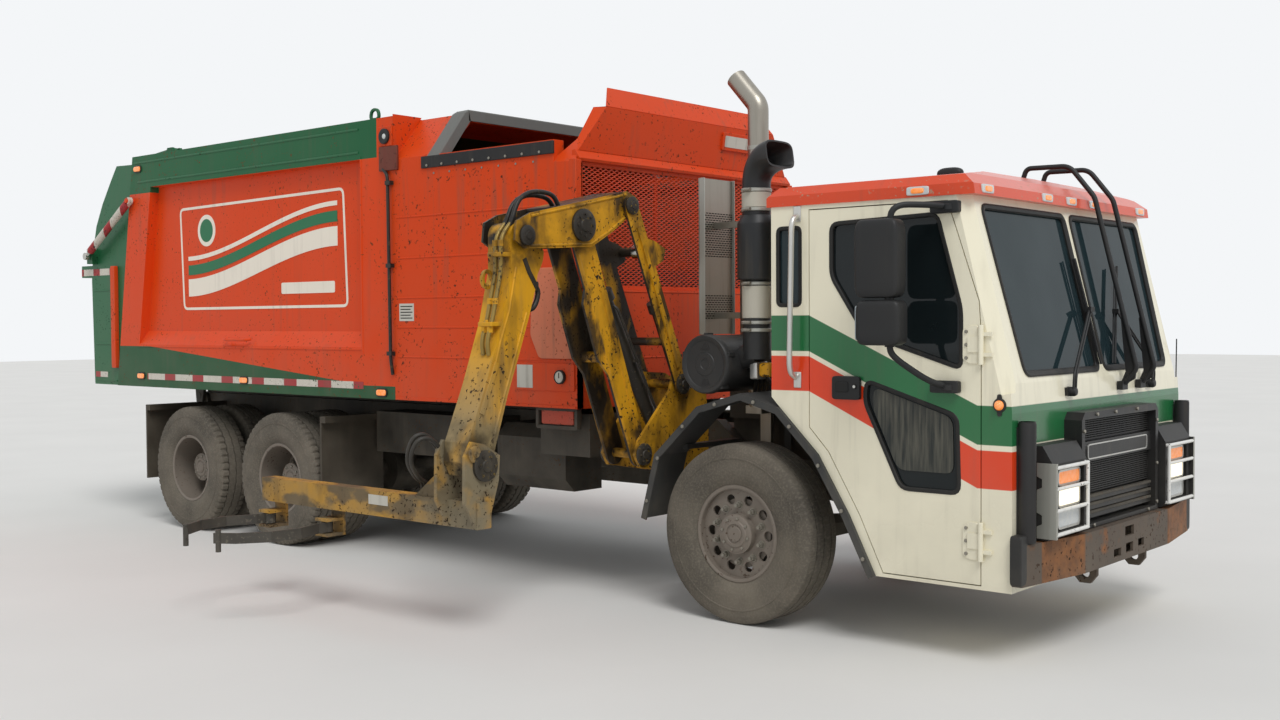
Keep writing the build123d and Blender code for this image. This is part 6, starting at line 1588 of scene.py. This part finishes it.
piece("canister_cap", turned(cap_profile, (-0.19, -1.2165, 1.53), "y", 56), intake_plastic, "chassis",
    smooth=40)
marks = []
for turn_up in (1, -1):
    z = 1.53 + turn_up * 0.105
    loop = [(-0.222, z - 0.018), (-0.158, z - 0.018), (-0.176, z + 0.018), (-0.204, z + 0.018)]
    marks.append(plate(loop, side_face(1.2165), 0.0, 0.0035))
piece("canister_marks", marks, grille_plastic, "chassis", bevel=0.001)
latches = [soft_block((-0.19 + 0.172 * np.cos(a) - 0.014, -1.214, 1.53 + 0.172 * np.sin(a) - 0.014),
    (-0.19 + 0.172 * np.cos(a) + 0.014, -1.15, 1.53 + 0.172 * np.sin(a) + 0.014), 0.2)
    for a in np.deg2rad([20, 90, 160, 230, 310])]
piece("canister_latches", latches, moulded_black, "chassis", smooth=50)

# %% Exhaust clamps and the shield's slots
def stack_ring(z0, z1, radius):
    profile = [(z0, radius - 0.008), (z0, radius), (z1, radius), (z1, radius - 0.008)]
    return turned(profile, (-0.27, -0.56, 0), "z", 40)


bands = [stack_ring(1.6, 1.635, 0.1205), stack_ring(2.32, 2.355, 0.1205), stack_ring(2.5, 2.53, 0.0695),
    stack_ring(2.86, 2.885, 0.0695)]
piece("exhaust_bands", bands, galvanised, "chassis")


def slots(z0, z1):
    """Painted shade for oblong holes: black blocks in staggered rows, each second row shifted half a pitch.
    """
    rows = np.arange(z0, z1, 0.0145)
    columns = np.arange(-0.675, -0.405, 0.03)
    y, z = np.meshgrid(columns, rows)
    y = y + (np.arange(len(rows))[:, None] % 2) * 0.015
    corners, faces = block((-0.0016, 0, 0), (0.0016, 0.019, 0.0062))
    places = np.stack([-0.6095 + 0 * y, y, z], -1).reshape(-1, 1, 3)
    number = 8 * np.arange(len(places))[:, None, None]
    return ((places + corners).reshape(-1, 3), [tuple(f) for f in (np.array(faces) + number).reshape(-1,
        4).tolist()])


# The slots are thin black blocks on the shield: painted shade where its holes would be.
shield_slots = slots(1.8, 1.95)
piece("shield_slots", [slots(2.2, 2.48), shield_slots], black_paint_and_hole_shade, "chassis")
lips = [block((-0.632, s, 1.698), (-0.59, s + 0.005, 2.702)) for s in (-0.701, -0.384)]
piece("shield_lips", lips, galvanised, "chassis", bevel=0.002)

# %% Valve block behind the cab
valve = [soft_block((0.03, -1.075, 1.44), (0.085, -0.96, 1.545), 0.2), turned([(0, 0), (0, 0.012),
    (0.045, 0.012), (0.045, 0)], (-0.01, -1.04, 1.52), "x", 16)]
piece("valve_block", valve, silver_paint, "chassis", smooth=50)
yellow_cap = soft_block((0.095, -1.08, 1.455), (0.18, -0.975, 1.54), 0.35)
piece("valve_cap", yellow_cap, arm_enamel, "chassis", smooth=50)
lines = []
for k in range(4):
    y = -0.84 - 0.045 * k
    lines.append(tube([(0.235, y, 1.5 - 0.04 * k), (0.13, y, 1.56 - 0.05 * k), (0.01, y + 0.02, 1.5),
        (-0.08, y + 0.1, 1.33)], 0.013, 0.06, 10))
piece("cab_back_pipes", lines, hose_rubber, "chassis")
print("stacks done")
# %% [markdown]
# ## Seats
# Each seat is two stuffed pads: a cushion and a back. A pad starts as a superellipsoid a
# little smaller than its space. It is remeshed evenly, blown up by cloth pressure with no
# gravity, and no point may move further than a cap. The sewn channels are pressed in
# afterwards, as grooves whose depth falls off like a bell curve from each seam line.

# %% Woven cloth
def woven(name, colour, thread=0.0024):
    """Two crossed waves one thread apart: their sum is the bump, and a noise lightens the tone in patches.
    """
    material, tree, shader, place = start(name)
    waves = []
    for direction in ("X", "DIAGONAL"):
        waves.append(add(tree, "TexWave", {"Vector": place, "Scale": 1 / (20 * thread)}, wave_type="BANDS",
            bands_direction=direction).outputs["Fac"])
    raised = maths(tree, "ADD", waves[0], waves[1])
    shade = noise(tree, place, 0.1, 0.3, 0.75)
    paint = over(tree, colour, "57544d", both(tree, shade, 0.35))
    bump = add(tree, "Bump", {"Height": raised, "Strength": 0.6, "Distance": thread * 0.25})
    tree.links.new(paint, shader.inputs["Base Color"])
    tree.links.new(bump.outputs[0], shader.inputs["Normal"])
    shader.inputs["Roughness"].default_value = 0.9
    shader.inputs["Sheen Weight"].default_value = 0.25
    return material


seat_weave = woven("seat cloth, grey and worn", "2f3236")
vinyl = weathered("seat vinyl, black piping", "17181a", 0.45, 0.05, 1.0, 0.0)


# %% Stuffed pads
def stuffed(name, shape, seams, cap=0.012, voxel=0.008):
    """Remesh, blow up, cap the movement, then press the seams in: depth*exp(-(d/width)^2)."""
    pad = piece(name, shape, seat_weave, "chassis", smooth=80)
    even = pad.modifiers.new("even mesh", "REMESH")
    even.mode = "VOXEL"
    even.voxel_size = voxel
    graph = bpy.context.evaluated_depsgraph_get()
    mesh = bpy.data.meshes.new_from_object(pad.evaluated_get(graph))
    pad.modifiers.clear()
    pad.data = mesh
    rest = np.empty(len(mesh.vertices) * 3)
    mesh.vertices.foreach_get("co", rest)
    rest = rest.reshape(-1, 3)
    moved = rest
    cloth = pad.modifiers.new("filling", "CLOTH")
    cloth.settings.quality = 4
    cloth.settings.use_pressure = True
    cloth.settings.uniform_pressure_force = 4.0
    cloth.settings.effector_weights.gravity = 0.0
    for frame_number in range(1, 21):
        bpy.context.scene.frame_set(frame_number)
    graph = bpy.context.evaluated_depsgraph_get()
    blown = pad.evaluated_get(graph).data
    moved = np.empty(len(blown.vertices) * 3)
    blown.vertices.foreach_get("co", moved)
    moved = moved.reshape(-1, 3)
    pad.modifiers.clear()
    bpy.context.scene.frame_set(1)
    step = moved - rest
    reach = np.linalg.norm(step, axis=1, keepdims=True) + 1e-9
    moved = rest + step * np.minimum(1, cap / reach)
    for axis, at, push, depth, side in seams:
        groove = np.exp(-((moved[:, axis] - at) / 0.009) ** 2) * depth
        facing = side(moved)
        moved[:, push] -= groove * facing
    mesh.vertices.foreach_set("co", moved.ravel())
    mesh.update()
    mesh.shade_smooth()
    finer = pad.modifiers.new("finer", "SUBSURF")
    finer.levels = finer.render_levels = 1
    return pad


def mirrored_pad(pad, name):
    """The other seat's pad: the same mesh with Y turned over and its faces turned back."""
    twin = pad.copy()
    twin.data = pad.data.copy()
    twin.name = name
    bpy.context.scene.collection.objects.link(twin)
    points = np.empty(len(twin.data.vertices) * 3)
    twin.data.vertices.foreach_get("co", points)
    points = points.reshape(-1, 3) * (1, -1, 1)
    twin.data.vertices.foreach_set("co", points.ravel())
    twin.data.flip_normals()
    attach(twin, "chassis")
    return twin


SEAT_Y = 0.785
above = lambda p: np.clip((p[:, 2] - 1.385) / 0.02, 0, 1)
ahead = lambda p: np.clip((p[:, 0] - 0.395) / 0.02, 0, 1)
cushion_shape = soft_block((0.444, -SEAT_Y - 0.242, 1.341), (0.926, -SEAT_Y + 0.242, 1.436), 0.3)
cushion_seams = [(1, -SEAT_Y + k * 0.15, 2, 0.01, above) for k in (-1, 1)]
cushion_seams += [(0, x, 2, 0.006, above) for x in (0.56, 0.66, 0.76)]
cushion = stuffed("seat_cushion_right", cushion_shape, cushion_seams)
points, faces = soft_block((0.341, -SEAT_Y - 0.222, 1.452), (0.447, -SEAT_Y + 0.222, 2.066), 0.3)
lean = (points[:, 2] - 1.45) / 0.63 * 0.03
points = points - np.column_stack([lean * np.clip((points[:, 0] - 0.35) / 0.1, 0, 1), 0 * lean, 0 * lean])
back_seams = [(1, -SEAT_Y + k * 0.14, 0, 0.01, ahead) for k in (-1, 1)]
back_seams += [(2, z, 0, 0.006, ahead) for z in (1.6, 1.72, 1.84, 1.96)]
backrest = stuffed("seat_back_right", (points, faces), back_seams)
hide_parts("cab_seats")
for made, name in ((cushion, "seat_cushion_left"), (backrest, "seat_back_left")):
    mirrored_pad(made, name)

# %% Seat shells and piping
def ring_round(pad, z, steps=72):
    """The pad's outline at a height: its points there, sorted by direction and joined."""
    points = np.array([vertex.co for vertex in pad.data.vertices])
    off = np.abs(points[:, 2] - z)
    near = points[off < off.min() + 0.005]
    centre = near.mean(0)
    angle = np.arctan2(near[:, 1] - centre[1], near[:, 0] - centre[0])
    reach = np.hypot(near[:, 0] - centre[0], near[:, 1] - centre[1])
    order = np.argsort(angle)
    turn = np.linspace(-np.pi, np.pi, steps + 1)
    reach = np.interp(turn, angle[order], reach[order], period=2 * np.pi)
    return np.column_stack([centre[0] + reach * np.cos(turn), centre[1] + reach * np.sin(turn),
        z + 0 * turn])


for side, sign in (("right", 1), ("left", -1)):
    y = -sign * SEAT_Y
    piping = [tube(ring_round(cushion, z) * (1, sign, 1), 0.0045, 0, 8) for z in (1.424, 1.356)]
    shell = soft_block((0.331, y - 0.215, 1.455), (0.352, y + 0.215, 2.05), 0.2)
    piece("seat_piping_" + side, piping, vinyl, "chassis", smooth=60)
    piece("seat_shell_" + side, shell, moulded_black, "chassis", smooth=60)
print("seats done; simulated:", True)
# %% [markdown]
# ## Floor, light and camera
# The truck stands on a pale, plain floor under a large soft sky, as in a studio. The
# floor and the sky show white to the camera and in reflections, but they light the truck
# at a plain level, so that each colour comes out about as it was written. A weak, wide
# sun gives the shapes a soft shadow. The camera stands where the photographer stood.

# %% Studio floor
def plain_floor(size):
    mesh = bpy.data.meshes.new("studio_floor")
    mesh.from_pydata([(-size, -size, 0), (size, -size, 0), (size, size, 0), (-size, size, 0)], [],
        [(0, 1, 2, 3)])
    floor = bpy.data.objects.new("studio_floor", mesh)
    bpy.context.scene.collection.objects.link(floor)
    material, tree, shader, place = start("studio floor, pale")
    patch = noise(tree, place, 1.5, 0.3, 0.7)
    tree.links.new(over(tree, "dedcd8", "e2e0dc", patch), shader.inputs["Base Color"])
    shader.inputs["Roughness"].default_value = 0.8
    mesh.materials.append(material)
    floor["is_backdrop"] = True
    return floor


floor = plain_floor(60.0)

# %% Sky, sun and camera
world = bpy.data.worlds.new("soft sky")
bpy.context.scene.world = world
world.use_nodes = True
sky = world.node_tree
rays = add(sky, "LightPath")
seen = maths(sky, "MAXIMUM", rays.outputs["Is Camera Ray"], rays.outputs["Is Glossy Ray"])
seen = maths(sky, "MAXIMUM", seen, rays.outputs["Is Transmission Ray"])
light = add(sky, "Background", {"Color": linear("eef2f6"), "Strength": 0.62})
white = add(sky, "Background", {"Color": linear("f4f6f8"), "Strength": 1.0})
blend = add(sky, "MixShader", {0: seen, 1: light, 2: white})
sky.links.new(blend.outputs[0], sky.nodes["World Output"].inputs["Surface"])

sun = bpy.data.lights.new("soft sun", "SUN")
sun.energy = 1.6
sun.angle = math.radians(25)
sun_object = bpy.data.objects.new("soft sun", sun)
sun_object.rotation_euler = (math.radians(38), math.radians(12), math.radians(40))
bpy.context.scene.collection.objects.link(sun_object)

camera = bpy.data.cameras.new("camera")
camera.sensor_width = 36.0
camera.lens = 38.28
camera.clip_end = 200.0
camera_object = bpy.data.objects.new("camera", camera)
bpy.context.scene.collection.objects.link(camera_object)
yaw, pitch, roll = math.radians(40.63), math.radians(1.67), math.radians(-0.32)
forward = Vector((-math.sin(yaw) * math.cos(pitch), math.cos(yaw) * math.cos(pitch), -math.sin(pitch)))
right = Vector((math.cos(yaw), math.sin(yaw), 0))
up = right.cross(forward)
right, up = (right * math.cos(roll) + up * math.sin(roll), up * math.cos(roll) - right * math.sin(roll))
camera_object.location = (4.768, -7.588, 1.792)
camera_object.rotation_mode = "QUATERNION"
turn = [[right[i], up[i], -forward[i]] for i in range(3)]
camera_object.rotation_quaternion = Matrix(turn).to_quaternion()
bpy.context.scene.camera = camera_object
bpy.context.scene.view_settings.view_transform = "Standard"
print("camera at", [round(v, 2) for v in camera_object.location])

# %% Measure the dressed truck's box and close
low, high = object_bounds()
{"cad": [list(cad_low), list(cad_high)], "visual": [list(low), list(high)]}
print("dressed truck from", [round(v, 3) for v in low], "to", [round(v, 3) for v in high])
